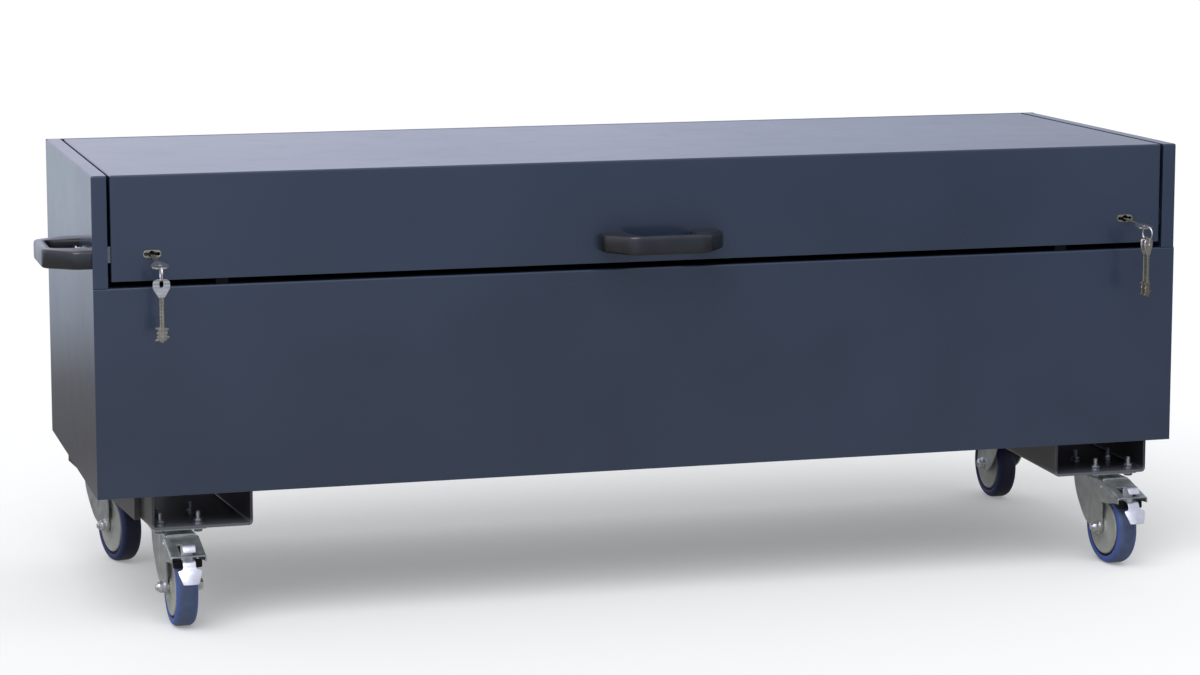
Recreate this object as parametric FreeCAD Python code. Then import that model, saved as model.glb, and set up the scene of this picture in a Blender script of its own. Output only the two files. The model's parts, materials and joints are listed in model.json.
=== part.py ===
import FreeCAD, Part
import math
import os

# A steel site security box on castors: a folded sheet casing, an L-shaped lid hinged at the back,
# two key-operated deadbolts, a pair of gas struts, two skid channels and four castors.
# Millimetres. The origin is on the floor under the middle of the whole object. X runs along the
# width, Y from front to back and Z up.

V = FreeCAD.Vector

# Casing
casing_width = 1800.0
casing_depth = 600.0
casing_height = 500.0
sheet = 2.5
edge_radius = 3.0
front_panel_height = 327.0
front_lip_depth = 30.0
front_lip_drop = 12.0
rim_width = 23.0
jamb_depth = 30.0
back_strip_depth = 10.0
flange = 25.0
floor_flange_height = 25.0
seat_gap = 0.1

# Lid
lid_side_gap = 5.0
lid_front_gap = 10.0
lid_flange = 25.0
skirt_lip_depth = 20.0
lid_opening_angle = 85.0
stiffener_width = 70.0
stiffener_crown = 34.0
stiffener_flank = 3.0
stiffener_height = 18.0
stiffener_sheet = 1.5
stiffener_count = 5
stiffener_pitch = 330.0
stiffener_front_gap = 60.0
stiffener_rear_gap = 8.0
buffer_length = 20.0
buffer_width = 7.0
buffer_setback = 12.0
buffer_clearance = 0.3
buffer_offset = 700.0

# Hinge
hinge_pin_radius = 3.0
hinge_running_clearance = 0.05
barrel_radius = 5.5
hinge_rear_gap = 10.5
hinge_drop = 8.5
knuckle_count = 13
knuckle_gap = 0.6
hinge_end_inset = 8.0
leaf_thickness = 2.0
leaf_start = 6.5
lid_leaf_reach = 30.0
casing_leaf_reach = 35.0
lid_skin_behind_pin = 5.0
rail_height = 50.0
rail_top_drop = 9.5

# Handles
handle_length = 202.0
handle_reach = 71.0
handle_height = 30.0
handle_shoulder = 25.0
handle_grip_length = 126.0
handle_opening_length = 104.0
handle_opening_depth = 55.0
handle_opening_taper = 4.0
handle_rounding = 7.0
handle_plan_radius = 16.0
handle_grip_radius = 24.0
handle_opening_radius = 12.0
handle_lug_reach = 5.0
handle_lug_length = 17.0
handle_lug_overlap = 3.0
handle_screw_radius = 2.5
handle_screw_head_radius = 4.75
handle_screw_head_height = 3.0
handle_screw_tail = 6.0
handle_nut_width = 8.0
handle_nut_height = 4.0
lid_handle_rise = 371.0
side_handle_rise = 370.0
side_handle_inset = 110.0

# Locks
keyhole_inset = 91.0
keyhole_rise = 378.0
liner_length = 28.0
liner_height = 12.0
liner_proud = 1.0
liner_hole_radius = 5.4
liner_slot_length = 25.0
liner_slot_height = 5.2
lock_case_width = 100.0
lock_case_height = 64.0
lock_case_depth = 38.0
lock_case_wall = 2.0
lock_case_headroom = 4.0
lock_case_rounding = 2.0
lock_case_side_gap = 1.5
bolt_height = 25.0
bolt_thickness = 12.0
bolt_setback = 6.0
bolt_nose_gap = 0.6
bolt_head_gap = 10.0
bolt_tail_gap = 14.0
bolt_riser_gap = 1.5
bolt_tail_height = 8.0
bolt_clearance = 0.6
bolt_throw = 19.5
key_chamber_half_width = 18.0
key_chamber_half_height = 20.0

# Keys
key_length = 97.0
key_thickness = 2.2
key_bow_length = 30.0
key_bow_width = 27.0
key_shaft_length = 43.5
key_shaft_width = 7.4
key_bit_width = 22.0
key_groove_width = 1.6
key_groove_depth = 0.5
key_notch_width = 3.2
key_notch_depth = 5.0
key_groove_offset = 1.9
key_insertion = 33.0
key_eye_length = 11.5
key_eye_width = 6.0
key_eye_edge = 1.7
left_key_droop = 13.0
left_key_yaw = 4.0
right_key_droop = 9.0
right_key_yaw = 12.0
ring_outer_radius = 12.0
ring_wire_radius = 0.9
ring_clearance = 0.4
left_ring_turn = 0.0
right_ring_turn = 18.0
left_spare_turn = 0.0
right_spare_turn = 30.0
spare_spacing = 4.4

# Gas struts
strut_inset = 50.0
strut_lid_back = 110.0
strut_lid_drop = 25.0
strut_foot_back = 40.0
strut_foot_drop = 240.0
strut_cylinder_radius = 9.0
strut_cylinder_wall = 1.5
strut_rod_radius = 4.0
strut_rod_clearance = 0.1
strut_neck_length = 4.0
strut_end_thickness = 6.0
strut_collar_length = 8.0
strut_rod_start = 24.0
strut_rod_guide = 16.5
strut_piston_length = 6.0
strut_piston_clearance = 0.3
strut_eye_radius = 8.0
strut_eye_thickness = 8.0
strut_stud_radius = 4.0
strut_stud_clearance = 0.05
strut_plate_thickness = 3.0
strut_bracket_foot = 14.0
strut_bracket_bend = 1.0
strut_plate_overhang = 12.0
strut_plate_gap = 5.0
strut_stud_tail = 2.0
strut_cap_gap = 0.4
strut_cap_thickness = 2.5
strut_cap_lip = 2.0
strut_plate_width = 40.0
strut_cut_clearance = 0.3
strut_side_clearance = 1.5

# Skids
skid_height = 54.0
skid_sheet = 4.0
skid_bend = 3.0
skid_front_recess = 3.0
left_skid_inset = 83.0
left_skid_width = 158.0
left_skid_splay = -49.0
right_skid_inset = 42.0
right_skid_width = 164.0
right_skid_splay = 30.0
side_plate_thickness = 8.0
side_plate_setback = 88.0

# Castors
castor_height = 156.0
wheel_radius = 62.5
wheel_width = 34.0
tyre_thickness = 12.0
tyre_chamfer = 5.0
rim_flange = 3.0
hub_radius = 14.0
hub_width = 38.0
web_width = 20.0
bush_radius = 7.5
bush_clearance = 0.06
axle_radius = 5.0
axle_head_height = 6.0
axle_head_width = 16.0
axle_nut_height = 8.0
axle_tail = 12.0
castor_offset = 40.0
castor_plate_width = 85.0
castor_plate_length = 105.0
castor_plate_thickness = 3.0
castor_plate_rounding = 8.0
castor_bolt_spacing_x = 60.0
castor_bolt_spacing_y = 80.0
castor_bolt_radius = 4.0
castor_bolt_head_width = 13.0
castor_bolt_head_height = 5.3
castor_bolt_length = 27.0
castor_nut_height = 6.5
castor_washer_radius = 8.0
castor_washer_height = 1.6
race_radius = 25.0
race_depth = 6.5
race_gap = 0.3
kingpin_radius = 8.0
kingpin_clearance = 0.06
kingpin_head_radius = 13.0
kingpin_head_height = 4.0
kingpin_seat_gap = 0.2
fork_half_width = 25.5
fork_sheet = 3.0
fork_bend = 4.0
fork_back_reach = 30.0
fork_back_drop = 14.0
fork_foot_drop = 12.0
fork_foot_half = 14.0
fork_nose_reach = 17.0
fork_nose_rise = 6.0
fork_shoulder_reach = 6.0
fork_shoulder_drop = 16.0
fork_front_drop = 8.0
fork_trim = 20.0
front_castor_inset = 62.0
rear_castor_inset = 62.0
left_castor_inset = 49.5
right_castor_inset = 55.5
front_left_swivel = 2.0
front_right_swivel = 3.0
rear_left_swivel = 14.0
rear_right_swivel = 180.0

# Brakes
brake_cover_half_width = 28.0
brake_cover_sheet = 2.5
brake_cover_reach = 72.0
brake_cover_drop = 22.0
brake_cover_flange = 34.0
brake_cover_bend = 1.5
brake_cover_lip = 9.0
brake_cover_nose_run = 16.0
brake_cover_nose_drop = 14.0
brake_cover_waist_run = 24.0
brake_cover_waist_drop = 20.0
brake_cover_heel_run = 12.0
brake_slot_width = 21.0
brake_slot_length = 26.0
brake_slot_land = 4.0
brake_mouth_flare = 5.0
brake_mouth_depth = 9.0
brake_pivot_reach = 22.0
brake_pivot_drop = 9.0
brake_pivot_radius = 3.0
brake_pivot_clearance = 0.05
brake_arm_width = 18.0
brake_arm_sheet = 4.0
brake_pedal_width = 35.0
brake_pedal_neck = 20.6
brake_pedal_bend = 2.0
brake_knee_reach = 62.0
brake_knee_drop = 12.0
brake_ankle_reach = 69.0
brake_ankle_drop = 28.0
brake_toe_reach = 79.0
brake_toe_drop = 46.0
brake_eye_wall = 3.0
brake_tab_width = 12.0
brake_tab_reach = 66.0
brake_tab_rise = 15.0
brake_tab_corner = 3.0
brake_foot_corner = 5.0
brake_foot_slant = 6.0

# Derived places
left = -casing_width / 2
right = casing_width / 2
rear_overhang = max(0.0, castor_offset + wheel_radius - rear_castor_inset)
whole_depth = handle_reach + casing_depth + rear_overhang
front = handle_reach - whole_depth / 2
back = front + casing_depth
base = castor_height + skid_height
top = base + casing_height
front_panel_top = base + front_panel_height
skirt_bottom = front_panel_top + lid_front_gap
lid_half_width = casing_width / 2 - rim_width - lid_side_gap
hinge_y = back - back_strip_depth - hinge_rear_gap
hinge_z = top - hinge_drop
keyhole_z = base + keyhole_rise
left_handle_setback = side_handle_inset
right_handle_setback = casing_depth - side_handle_inset


# Drawing helpers

def spot(axis, along, across, up):
    """A point from its place along an axis and its two places square to it, in X, Y, Z order."""
    if axis == "x":
        return V(along, across, up)
    if axis == "y":
        return V(across, along, up)
    return V(across, up, along)


def rounded_wire(axis, along, corners, radii):
    """A closed outline square to an axis. Each corner has its own arc, or is sharp at radius zero."""
    if not isinstance(radii, list):
        radii = [radii] * len(corners)
    flat = [V(corner[0], corner[1], 0) for corner in corners]
    marks = []
    for number, here in enumerate(flat):
        radius = radii[number]
        if radius <= 0:
            marks.append((here, None, here))
            continue
        incoming = (flat[number - 1] - here).normalize()
        outgoing = (flat[(number + 1) % len(flat)] - here).normalize()
        half_angle = incoming.getAngle(outgoing) / 2
        reach = radius / math.tan(half_angle)
        inward = (incoming + outgoing).normalize()
        centre = here + inward * (radius / math.sin(half_angle))
        marks.append((here + incoming * reach, centre - inward * radius, here + outgoing * reach))
    lifted = []
    for mark in marks:
        lifted.append([None if m is None else spot(axis, along, m.x, m.y) for m in mark])
    edges = []
    for number, (start, middle, end) in enumerate(lifted):
        if middle is not None:
            edges.append(Part.Arc(start, middle, end).toShape())
        following = lifted[(number + 1) % len(lifted)][0]
        if (following - end).Length > 1e-6:
            edges.append(Part.LineSegment(end, following).toShape())
    return Part.Wire(edges)


def prism(axis, start, end, corners, radii=0, skew=(0, 0)):
    """A solid of one outline drawn from start to end along an axis, skewed sideways if asked."""
    face = Part.Face(rounded_wire(axis, start, corners, radii))
    return face.extrude(spot(axis, end - start, skew[0], skew[1]))


def sheet_outline(path, thickness, inner_radius=0.5):
    """Outline and corner radii of folded sheet. The path is one face, with the metal on its left."""
    flat = [V(corner[0], corner[1], 0) for corner in path]
    directions = [(flat[n + 1] - flat[n]).normalize() for n in range(len(flat) - 1)]
    offset_corners = []
    path_radii = []
    offset_radii = []
    for number, here in enumerate(flat):
        sides = directions[max(0, number - 1):number + 1]
        total = V(0, 0, 0)
        for side in sides:
            total = total + V(-side.y, side.x, 0)
        shift = total * (thickness * len(sides) / total.dot(total))
        offset_corners.append((here.x + shift.x, here.y + shift.y))
        if len(sides) == 1:
            path_radii.append(0)
            offset_radii.append(0)
            continue
        turn = sides[0].x * sides[1].y - sides[0].y * sides[1].x
        path_radii.append(inner_radius + thickness if turn > 0 else inner_radius)
        offset_radii.append(inner_radius if turn > 0 else inner_radius + thickness)
    return list(path) + offset_corners[::-1], path_radii + offset_radii[::-1]


def folded(axis, start, end, path, thickness, inner_radius=0.5, skew=(0, 0)):
    """A length of folded sheet."""
    corners, radii = sheet_outline(path, thickness, inner_radius)
    return prism(axis, start, end, corners, radii, skew)


def block(x_range, y_range, z_range):
    """A rectangular block between pairs of limits."""
    x0, x1 = sorted(x_range)
    y0, y1 = sorted(y_range)
    z0, z1 = sorted(z_range)
    return Part.makeBox(x1 - x0, y1 - y0, z1 - z0, V(x0, y0, z0))


def oblong(axis, start, end, centre, length, height):
    """A round-ended bar drawn along an axis."""
    half = length / 2
    rise = height / 2
    across, up = centre
    corners = [(across - half, up - rise), (across + half, up - rise),
               (across + half, up + rise), (across - half, up + rise)]
    return prism(axis, start, end, corners, rise * 0.98)


def cylinder(start, end, radius):
    """A round bar between two points."""
    return Part.makeCylinder(radius, (end - start).Length, start, end - start)


def revolved(profile, centre, direction):
    """A solid of revolution. The profile holds pairs of radius and place along the direction."""
    wire = Part.makePolygon([V(radius, 0, along) for radius, along in profile + profile[:1]])
    solid = Part.Face(wire).revolve(V(0, 0, 0), V(0, 0, 1), 360)
    solid.Placement = FreeCAD.Placement(centre, FreeCAD.Rotation(V(0, 0, 1), direction))
    return solid


def hexagon(start, end, width):
    """A hexagonal bar between two points, given its width across the flats."""
    direction = end - start
    side_radius = width / math.sqrt(3)
    points = []
    for step in range(7):
        angle = math.radians(60 * step)
        points.append(V(side_radius * math.cos(angle), side_radius * math.sin(angle), 0))
    solid = Part.Face(Part.makePolygon(points)).extrude(V(0, 0, direction.Length))
    solid.Placement = FreeCAD.Placement(start, FreeCAD.Rotation(V(0, 0, 1), direction))
    return solid


def joined(pieces):
    """One solid from touching pieces."""
    return pieces[0].fuse(pieces[1:]).removeSplitter()


def without(shape, tools):
    """A shape with a list of tools cut out of it."""
    return shape.cut(Part.makeCompound(tools))


def soften(shape, radius, wanted):
    """Rounds the edges whose middle point passes a test."""
    edges = []
    for edge in shape.Edges:
        middle = edge.valueAt((edge.FirstParameter + edge.LastParameter) / 2)
        if wanted(middle, edge):
            edges.append(edge)
    return shape.makeFillet(radius, edges)


def mirrored(shape):
    """The same piece on the other side of the middle of the box."""
    return shape.mirror(V(0, 0, 0), V(1, 0, 0))


def near(value, target):
    return abs(value - target) < 0.01


def save(name, pieces):
    """Writes one node, made of one solid or a list of them."""
    shape = Part.makeCompound(pieces) if isinstance(pieces, list) else pieces
    solids = shape.Solids
    state = "valid" if shape.isValid() else "BAD"
    print(name, len(solids), "solids", round(shape.Volume / 1000, 2), "cm3", state)
    result = solids[0] if len(solids) == 1 else Part.makeCompound(solids)
    result.exportStep("parts/" + name + ".step")


# Casing

def end_panel():
    """The left end: wall, front stile, top rim, jamb down both, and the back flange."""
    inner = left + sheet
    rim = left + rim_width
    strip_front = back - back_strip_depth
    frame = block((left, rim), (front, strip_front), (front_panel_top, top))
    hollow = block((inner, rim - sheet), (front + sheet, strip_front), (front_panel_top, top - sheet))
    jamb_cut = block((rim - sheet, rim), (front + jamb_depth, strip_front),
                     (front_panel_top, top - jamb_depth))
    frame = frame.cut(hollow).cut(jamb_cut)
    frame = soften(frame, edge_radius, lambda m, e: (
        (near(m.x, left) and (near(m.y, front) or near(m.z, top)))
        or (near(m.y, front) and near(m.z, top))))
    wall = block((left, inner), (front + sheet, back - sheet), (base, front_panel_top))
    rear_wall = block((left, inner), (strip_front, back - sheet), (front_panel_top, top - sheet))
    back_flange = block((inner, inner + flange), (back - 2 * sheet, back - sheet),
                        (base + sheet + floor_flange_height, top - rail_height - flange))
    panel = joined([frame, wall, rear_wall, back_flange])
    slot_z = keyhole_z
    slot_y = front + bolt_setback + bolt_thickness / 2
    half_slot = bolt_thickness / 2 + bolt_clearance
    slot_rise = bolt_height / 2 + bolt_clearance
    bolt_slot = block((rim - 2 * sheet, rim + sheet), (slot_y - half_slot, slot_y + half_slot),
                      (slot_z - slot_rise, slot_z + slot_rise))
    return panel.cut(bolt_slot)


def panel_with_screw_holes(panel, setback):
    """The end panel with clear holes for its handle's screws."""
    tools = []
    for place in handle_screw_places():
        y = front + setback - place
        z = base + side_handle_rise
        tools.append(cylinder(V(left - 1, y, z), V(left + sheet + 1, y, z), handle_screw_radius))
    return without(panel, tools)


def front_panel():
    """The lower front: a full width face with its top lip folded back and down, and side returns."""
    path = [(front, base), (front, front_panel_top), (front + front_lip_depth, front_panel_top),
            (front + front_lip_depth, front_panel_top - front_lip_drop)]
    outline = path[::-1]
    panel = folded("x", left, right, outline, sheet)
    inner = left + sheet
    notch = block((left, inner), (front + sheet, back), (base, top))
    panel = without(panel, [notch, mirrored(notch)])
    side_return = block((inner, inner + sheet), (front + sheet, front + flange),
                        (base + sheet + floor_flange_height, front_panel_top - front_lip_drop - 1))
    return joined([panel, side_return, mirrored(side_return)])


def back_panel():
    """The back: a full face with a strip folded forwards at the top and the hinge rail inside."""
    path = [(back, base), (back, top), (back - back_strip_depth, top)]
    panel = folded("x", left, right, path, sheet, 0)
    rail_front = hinge_y + barrel_radius
    rail_top = hinge_z - rail_top_drop
    rail_path = [(rail_front, rail_top), (rail_front, rail_top - rail_height),
                 (back - sheet, rail_top - rail_height)]
    rail_end = lid_half_width - hinge_end_inset
    rail = folded("x", -rail_end, rail_end, rail_path, sheet)
    return joined([panel, rail])


def floor_panel():
    """The floor pan, with an upturned flange inside each wall."""
    inner_left = left + sheet
    inner_right = right - sheet
    tray = block((inner_left, inner_right), (front + sheet, back - sheet),
                 (base, base + sheet + floor_flange_height))
    hollow = block((inner_left + sheet, inner_right - sheet), (front + 2 * sheet, back - 2 * sheet),
                   (base + sheet, top))
    return tray.cut(hollow)


# Lid

def lid_shell():
    """The top and the front skirt in one shell, open underneath and behind."""
    skin_rear = hinge_y + lid_skin_behind_pin
    flange_rear = hinge_y - lid_flange
    shell = block((-lid_half_width, lid_half_width), (front, skin_rear), (skirt_bottom, top))
    inside = block((-lid_half_width + sheet, lid_half_width - sheet), (front + sheet, skin_rear),
                   (skirt_bottom, top - sheet))
    step = block((-lid_half_width, lid_half_width), (front + lid_flange, skin_rear),
                 (skirt_bottom, top - lid_flange))
    rear_step = block((-lid_half_width, lid_half_width), (flange_rear, skin_rear),
                      (skirt_bottom, top - sheet))
    shell = without(shell, [inside, step, rear_step])
    shell = soften(shell, edge_radius, lambda m, e: (
        near(m.y, front) and (near(m.z, top) or near(abs(m.x), lid_half_width))
        or (near(m.z, top) and near(abs(m.x), lid_half_width) and m.y < flange_rear)))
    lip = block((-lid_half_width + sheet, lid_half_width - sheet), (front + sheet, front + skirt_lip_depth),
                (skirt_bottom, skirt_bottom + sheet))
    shell = joined([shell, lip])
    slot_y = front + bolt_setback + bolt_thickness / 2
    tools = []
    for side in (-1, 1):
        keyhole_x = side * (right - keyhole_inset)
        tools.append(oblong("y", front - 1, front + sheet + 1, (keyhole_x, keyhole_z),
                            liner_length, liner_height))
        edge = side * lid_half_width
        tools.append(block((edge - side * 2 * sheet, edge + side * sheet),
                           (slot_y - bolt_thickness / 2 - bolt_clearance,
                            slot_y + bolt_thickness / 2 + bolt_clearance),
                           (keyhole_z - bolt_height / 2 - bolt_clearance,
                            keyhole_z + bolt_height / 2 + bolt_clearance)))
    for screw_x in handle_screw_places():
        tools.append(cylinder(V(screw_x, front - 1, base + lid_handle_rise),
                              V(screw_x, front + sheet + 1, base + lid_handle_rise), handle_screw_radius))
    return without(shell, tools)


def lid_stiffeners():
    """Top-hat ribs under the top, from behind the skirt to the hinge leaf."""
    rear = hinge_y - lid_leaf_reach - stiffener_rear_gap
    ribs = []
    for number in range(stiffener_count):
        middle = (number - (stiffener_count - 1) / 2) * stiffener_pitch
        under = top - sheet
        low = under - stiffener_height
        half_crown = stiffener_crown / 2
        half_brim = half_crown + stiffener_flank
        path = [(middle - stiffener_width / 2, under), (middle - half_brim, under),
                (middle - half_crown, low), (middle + half_crown, low),
                (middle + half_brim, under), (middle + stiffener_width / 2, under)]
        corners, radii = sheet_outline([(x, z - stiffener_sheet) for x, z in path], stiffener_sheet)
        ribs.append(prism("y", front + stiffener_front_gap, rear, corners, radii))
    return ribs


def lid_buffers():
    """Rubber blocks on the front panel's lip that the skirt comes down to."""
    blocks = []
    for side in (-1, 1):
        x_low = side * buffer_offset - buffer_length / 2
        piece = block((x_low, x_low + buffer_length),
                      (front + buffer_setback, front + buffer_setback + buffer_width),
                      (front_panel_top, skirt_bottom - buffer_clearance))
        blocks.append(soften(piece, 2.0, lambda m, e: near(m.z, skirt_bottom - buffer_clearance)))
    return blocks


# Hinge

def knuckle_spans():
    """Start, end and owner of each knuckle. The casing has the even ones and the lid the odd ones."""
    half = lid_half_width - hinge_end_inset
    pitch = 2 * half / knuckle_count
    spans = []
    for number in range(knuckle_count):
        start = -half + number * pitch + knuckle_gap / 2
        spans.append((start, start + pitch - knuckle_gap, number % 2))
    return spans


def hinge_leaf(owner, plate, strip):
    """One leaf: its plate, a strip up to the barrel at each of its knuckles, and the knuckles."""
    half = lid_half_width - hinge_end_inset
    pieces = [block((-half, half), plate[0], plate[1])]
    bores = []
    for start, end, who in knuckle_spans():
        if who != owner:
            continue
        pieces.append(block((start, end), strip[0], strip[1]))
        pieces.append(cylinder(V(start, hinge_y, hinge_z), V(end, hinge_y, hinge_z), barrel_radius))
        bores.append(cylinder(V(start - 1, hinge_y, hinge_z), V(end + 1, hinge_y, hinge_z),
                              hinge_pin_radius + hinge_running_clearance))
    return without(joined(pieces), bores)


def hinge_casing_leaf():
    rear = hinge_y + barrel_radius
    face = (rear - leaf_thickness, rear)
    return hinge_leaf(0, (face, (hinge_z - casing_leaf_reach, hinge_z - leaf_start)),
                      (face, (hinge_z - leaf_start, hinge_z)))


def hinge_lid_leaf():
    high = top - sheet
    face = (high - leaf_thickness, high)
    return hinge_leaf(1, ((hinge_y - lid_leaf_reach, hinge_y - leaf_start), face),
                      ((hinge_y - leaf_start, hinge_y), face))


def hinge_pin():
    half = lid_half_width - hinge_end_inset
    return cylinder(V(-half, hinge_y, hinge_z), V(half, hinge_y, hinge_z), hinge_pin_radius)


# Handles

def handle_screw_places():
    """Places of the two fixing screws along a handle, from its middle."""
    reach = handle_opening_length / 2 - handle_lug_length / 2
    return [-reach, reach]


def handle():
    """A moulded D handle on the plane Y = 0, reaching towards -Y and centred on the origin."""
    half = handle_length / 2
    grip = handle_grip_length / 2
    outline = [(-half, 0), (-half, -handle_shoulder), (-grip, -handle_reach),
               (grip, -handle_reach), (half, -handle_shoulder), (half, 0)]
    body = prism("z", -handle_height / 2, handle_height / 2, outline,
                 [0, handle_plan_radius, handle_grip_radius, handle_grip_radius, handle_plan_radius, 0])
    opening = handle_opening_length / 2
    narrow = opening - handle_opening_taper
    hole_outline = [(-opening, 1), (-narrow, -handle_opening_depth),
                    (narrow, -handle_opening_depth), (opening, 1)]
    hole = prism("z", -handle_height, handle_height, hole_outline,
                 [0, handle_opening_radius, handle_opening_radius, 0])
    body = body.cut(hole)
    body = soften(body, handle_rounding, lambda m, e: (
        near(abs(m.z), handle_height / 2) and m.y < -0.01))
    pieces = [body]
    screw_holes = []
    for place in handle_screw_places():
        inward = 1 if place < 0 else -1
        start = place - inward * (handle_lug_length / 2 + handle_lug_overlap)
        lug_end = place + inward * handle_lug_length / 2
        lug = block((start, lug_end), (0, -handle_lug_reach),
                    (-handle_height / 2 + handle_rounding, handle_height / 2 - handle_rounding))
        pieces.append(lug)
        screw_holes.append(cylinder(V(place, 1, 0), V(place, -handle_lug_reach - 1, 0), handle_screw_radius))
    return without(joined(pieces), screw_holes)


def handle_screws():
    """Cheese-headed screws through a handle's lugs, with nuts behind the sheet."""
    screws = []
    for place in handle_screw_places():
        face = -handle_lug_reach
        head = cylinder(V(place, face, 0), V(place, face - handle_screw_head_height, 0),
                        handle_screw_head_radius)
        shank = cylinder(V(place, face, 0), V(place, sheet + handle_screw_tail, 0), handle_screw_radius)
        nut = hexagon(V(place, sheet, 0), V(place, sheet + handle_nut_height, 0), handle_nut_width)
        screws.append(joined([head, shank, nut]))
    return screws


def on_left_side(shape, setback):
    """Turns a piece made for the front face so that it stands on the left side."""
    piece = shape.copy()
    piece.rotate(V(0, 0, 0), V(0, 0, 1), -90)
    piece.translate(V(left, front + setback, base + side_handle_rise))
    return piece


def on_skirt(shape):
    piece = shape.copy()
    piece.translate(V(0, front, base + lid_handle_rise))
    return piece


# Locks, drawn for the left side and mirrored for the right

def left_keyhole_x():
    return left + keyhole_inset


def lock_case_limits():
    """Limits of the left lock case in X, Y and Z."""
    x_low = -lid_half_width + sheet + lock_case_side_gap
    y_low = front + sheet
    z_high = keyhole_z + key_chamber_half_height + bolt_tail_height + lock_case_wall + lock_case_headroom
    return ((x_low, x_low + lock_case_width), (y_low, y_low + lock_case_depth),
            (z_high - lock_case_height, z_high))


def lock_case():
    """A hollow steel case behind the skirt, with a slot for the bolt and a hole for the key."""
    x_range, y_range, z_range = lock_case_limits()
    case = soften(block(x_range, y_range, z_range), lock_case_rounding,
                  lambda m, e: (near(m.y, y_range[1])
                                or near(abs(m.x - sum(x_range) / 2), lock_case_width / 2)))
    wall = lock_case_wall
    hollow = block((x_range[0] + wall, x_range[1] - wall), (y_range[0] + wall, y_range[1] - wall),
                   (z_range[0] + wall, z_range[1] - wall))
    slot = block((x_range[0] - 1, x_range[0] + wall + 1),
                 (front + bolt_setback - bolt_clearance,
                  front + bolt_setback + bolt_thickness + bolt_clearance),
                 (keyhole_z - bolt_height / 2 - bolt_clearance, keyhole_z + bolt_height / 2 + bolt_clearance))
    keyway = oblong("y", y_range[0] - 1, y_range[0] + wall + 1, (left_keyhole_x(), keyhole_z),
                    liner_slot_length, liner_slot_height)
    key_hole = cylinder(V(left_keyhole_x(), y_range[0] - 1, keyhole_z),
                        V(left_keyhole_x(), y_range[0] + wall + 1, keyhole_z), liner_hole_radius + 1)
    return without(case, [hollow, slot, keyway, key_hole])


def deadbolt():
    """The bolt: a bevelled nose that reaches the jamb and a tail that runs over the key."""
    nose_x = left + rim_width + bolt_nose_gap
    head_end = left_keyhole_x() - key_chamber_half_width - bolt_head_gap
    riser_x = lock_case_limits()[0][0] + lock_case_wall + bolt_throw + bolt_riser_gap
    tail_end = left_keyhole_x() + key_chamber_half_width + bolt_tail_gap
    low = keyhole_z - bolt_height / 2
    high = keyhole_z + bolt_height / 2
    tail_low = keyhole_z + key_chamber_half_height + bolt_clearance
    tail_high = tail_low + bolt_tail_height - bolt_clearance
    outline = [(nose_x, low), (head_end, low), (head_end, tail_low), (tail_end, tail_low),
               (tail_end, tail_high), (riser_x, tail_high), (riser_x, high), (nose_x, high)]
    bolt = prism("y", front + bolt_setback, front + bolt_setback + bolt_thickness, outline,
                 [2, 0, 3, 1, 1, 3, 0, 2])
    return bolt


def keyhole_liner():
    """The bright oblong liner in the skirt, with the keyway through it."""
    x = left_keyhole_x()
    body = oblong("y", front - liner_proud, front + sheet, (x, keyhole_z), liner_length, liner_height)
    keyway = oblong("y", front - liner_proud - 1, front + sheet + 1, (x, keyhole_z),
                    liner_slot_length, liner_slot_height)
    hole = cylinder(V(x, front - liner_proud - 1, keyhole_z), V(x, front + sheet + 1, keyhole_z),
                    liner_hole_radius)
    return without(body, [keyway, hole])


# Keys

def key():
    """A pressed double-bitted key in the XZ plane, tip down, with its bow's end at the origin."""
    half_bow = key_bow_width / 2
    half_shaft = key_shaft_width / 2
    half_bit = key_bit_width / 2
    bow_low = -key_bow_length
    bit_top = bow_low - key_shaft_length
    low = -key_length
    right_side = [(half_bow, 0), (half_bow, bow_low * 0.5), (half_shaft, bow_low), (half_shaft, bit_top),
                  (half_bit, bit_top), (half_bit, low)]
    radii = [7, 6, 5, 0, 0, 1]
    outline = right_side + [(-x, z) for x, z in right_side[::-1]]
    blank = prism("y", -key_thickness / 2, key_thickness / 2, outline, radii + radii[::-1])
    eye = prism("y", -key_thickness, key_thickness,
                [(-key_eye_width / 2, -key_eye_edge), (key_eye_width / 2, -key_eye_edge),
                 (key_eye_width / 2, -key_eye_edge - key_eye_length),
                 (-key_eye_width / 2, -key_eye_edge - key_eye_length)], key_eye_width * 0.49)
    tools = [eye]
    for side in (-1, 1):
        for face in (-1, 1):
            groove_y = (face * (key_thickness / 2 - key_groove_depth), face * key_thickness)
            groove_x = side * key_groove_offset
            tools.append(block((groove_x - key_groove_width / 2, groove_x + key_groove_width / 2),
                               groove_y, (bow_low + key_groove_width, bit_top - 2 * key_groove_width)))
        for step, share in ((1, 1.0), (3, 0.6), (5, 0.85)):
            notch_z = bit_top - step * key_notch_width
            reach = half_bit - key_notch_depth * share
            tools.append(block((side * reach, side * (half_bit + 1)), (-key_thickness, key_thickness),
                               (notch_z - key_notch_width, notch_z)))
    return without(blank, tools)


def inserted_key(side, droop, yaw):
    """A key in its lock with its bits level, leaning by its slack in the keyhole."""
    piece = key()
    piece.translate(V(0, 0, key_length - key_insertion))
    piece.rotate(V(0, 0, 0), V(1, 0, 0), 90)
    piece.rotate(V(0, 0, 0), V(1, 0, 0), droop)
    piece.rotate(V(0, 0, 0), V(0, 0, 1), yaw)
    piece.translate(V(side * (right - keyhole_inset), front, keyhole_z))
    return piece


def key_axis(droop, yaw):
    """Unit vector from a lock's keyhole out along its key."""
    level = math.cos(math.radians(droop))
    fall = math.sin(math.radians(droop))
    return V(level * math.sin(math.radians(yaw)), -level * math.cos(math.radians(yaw)), -fall)


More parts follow.
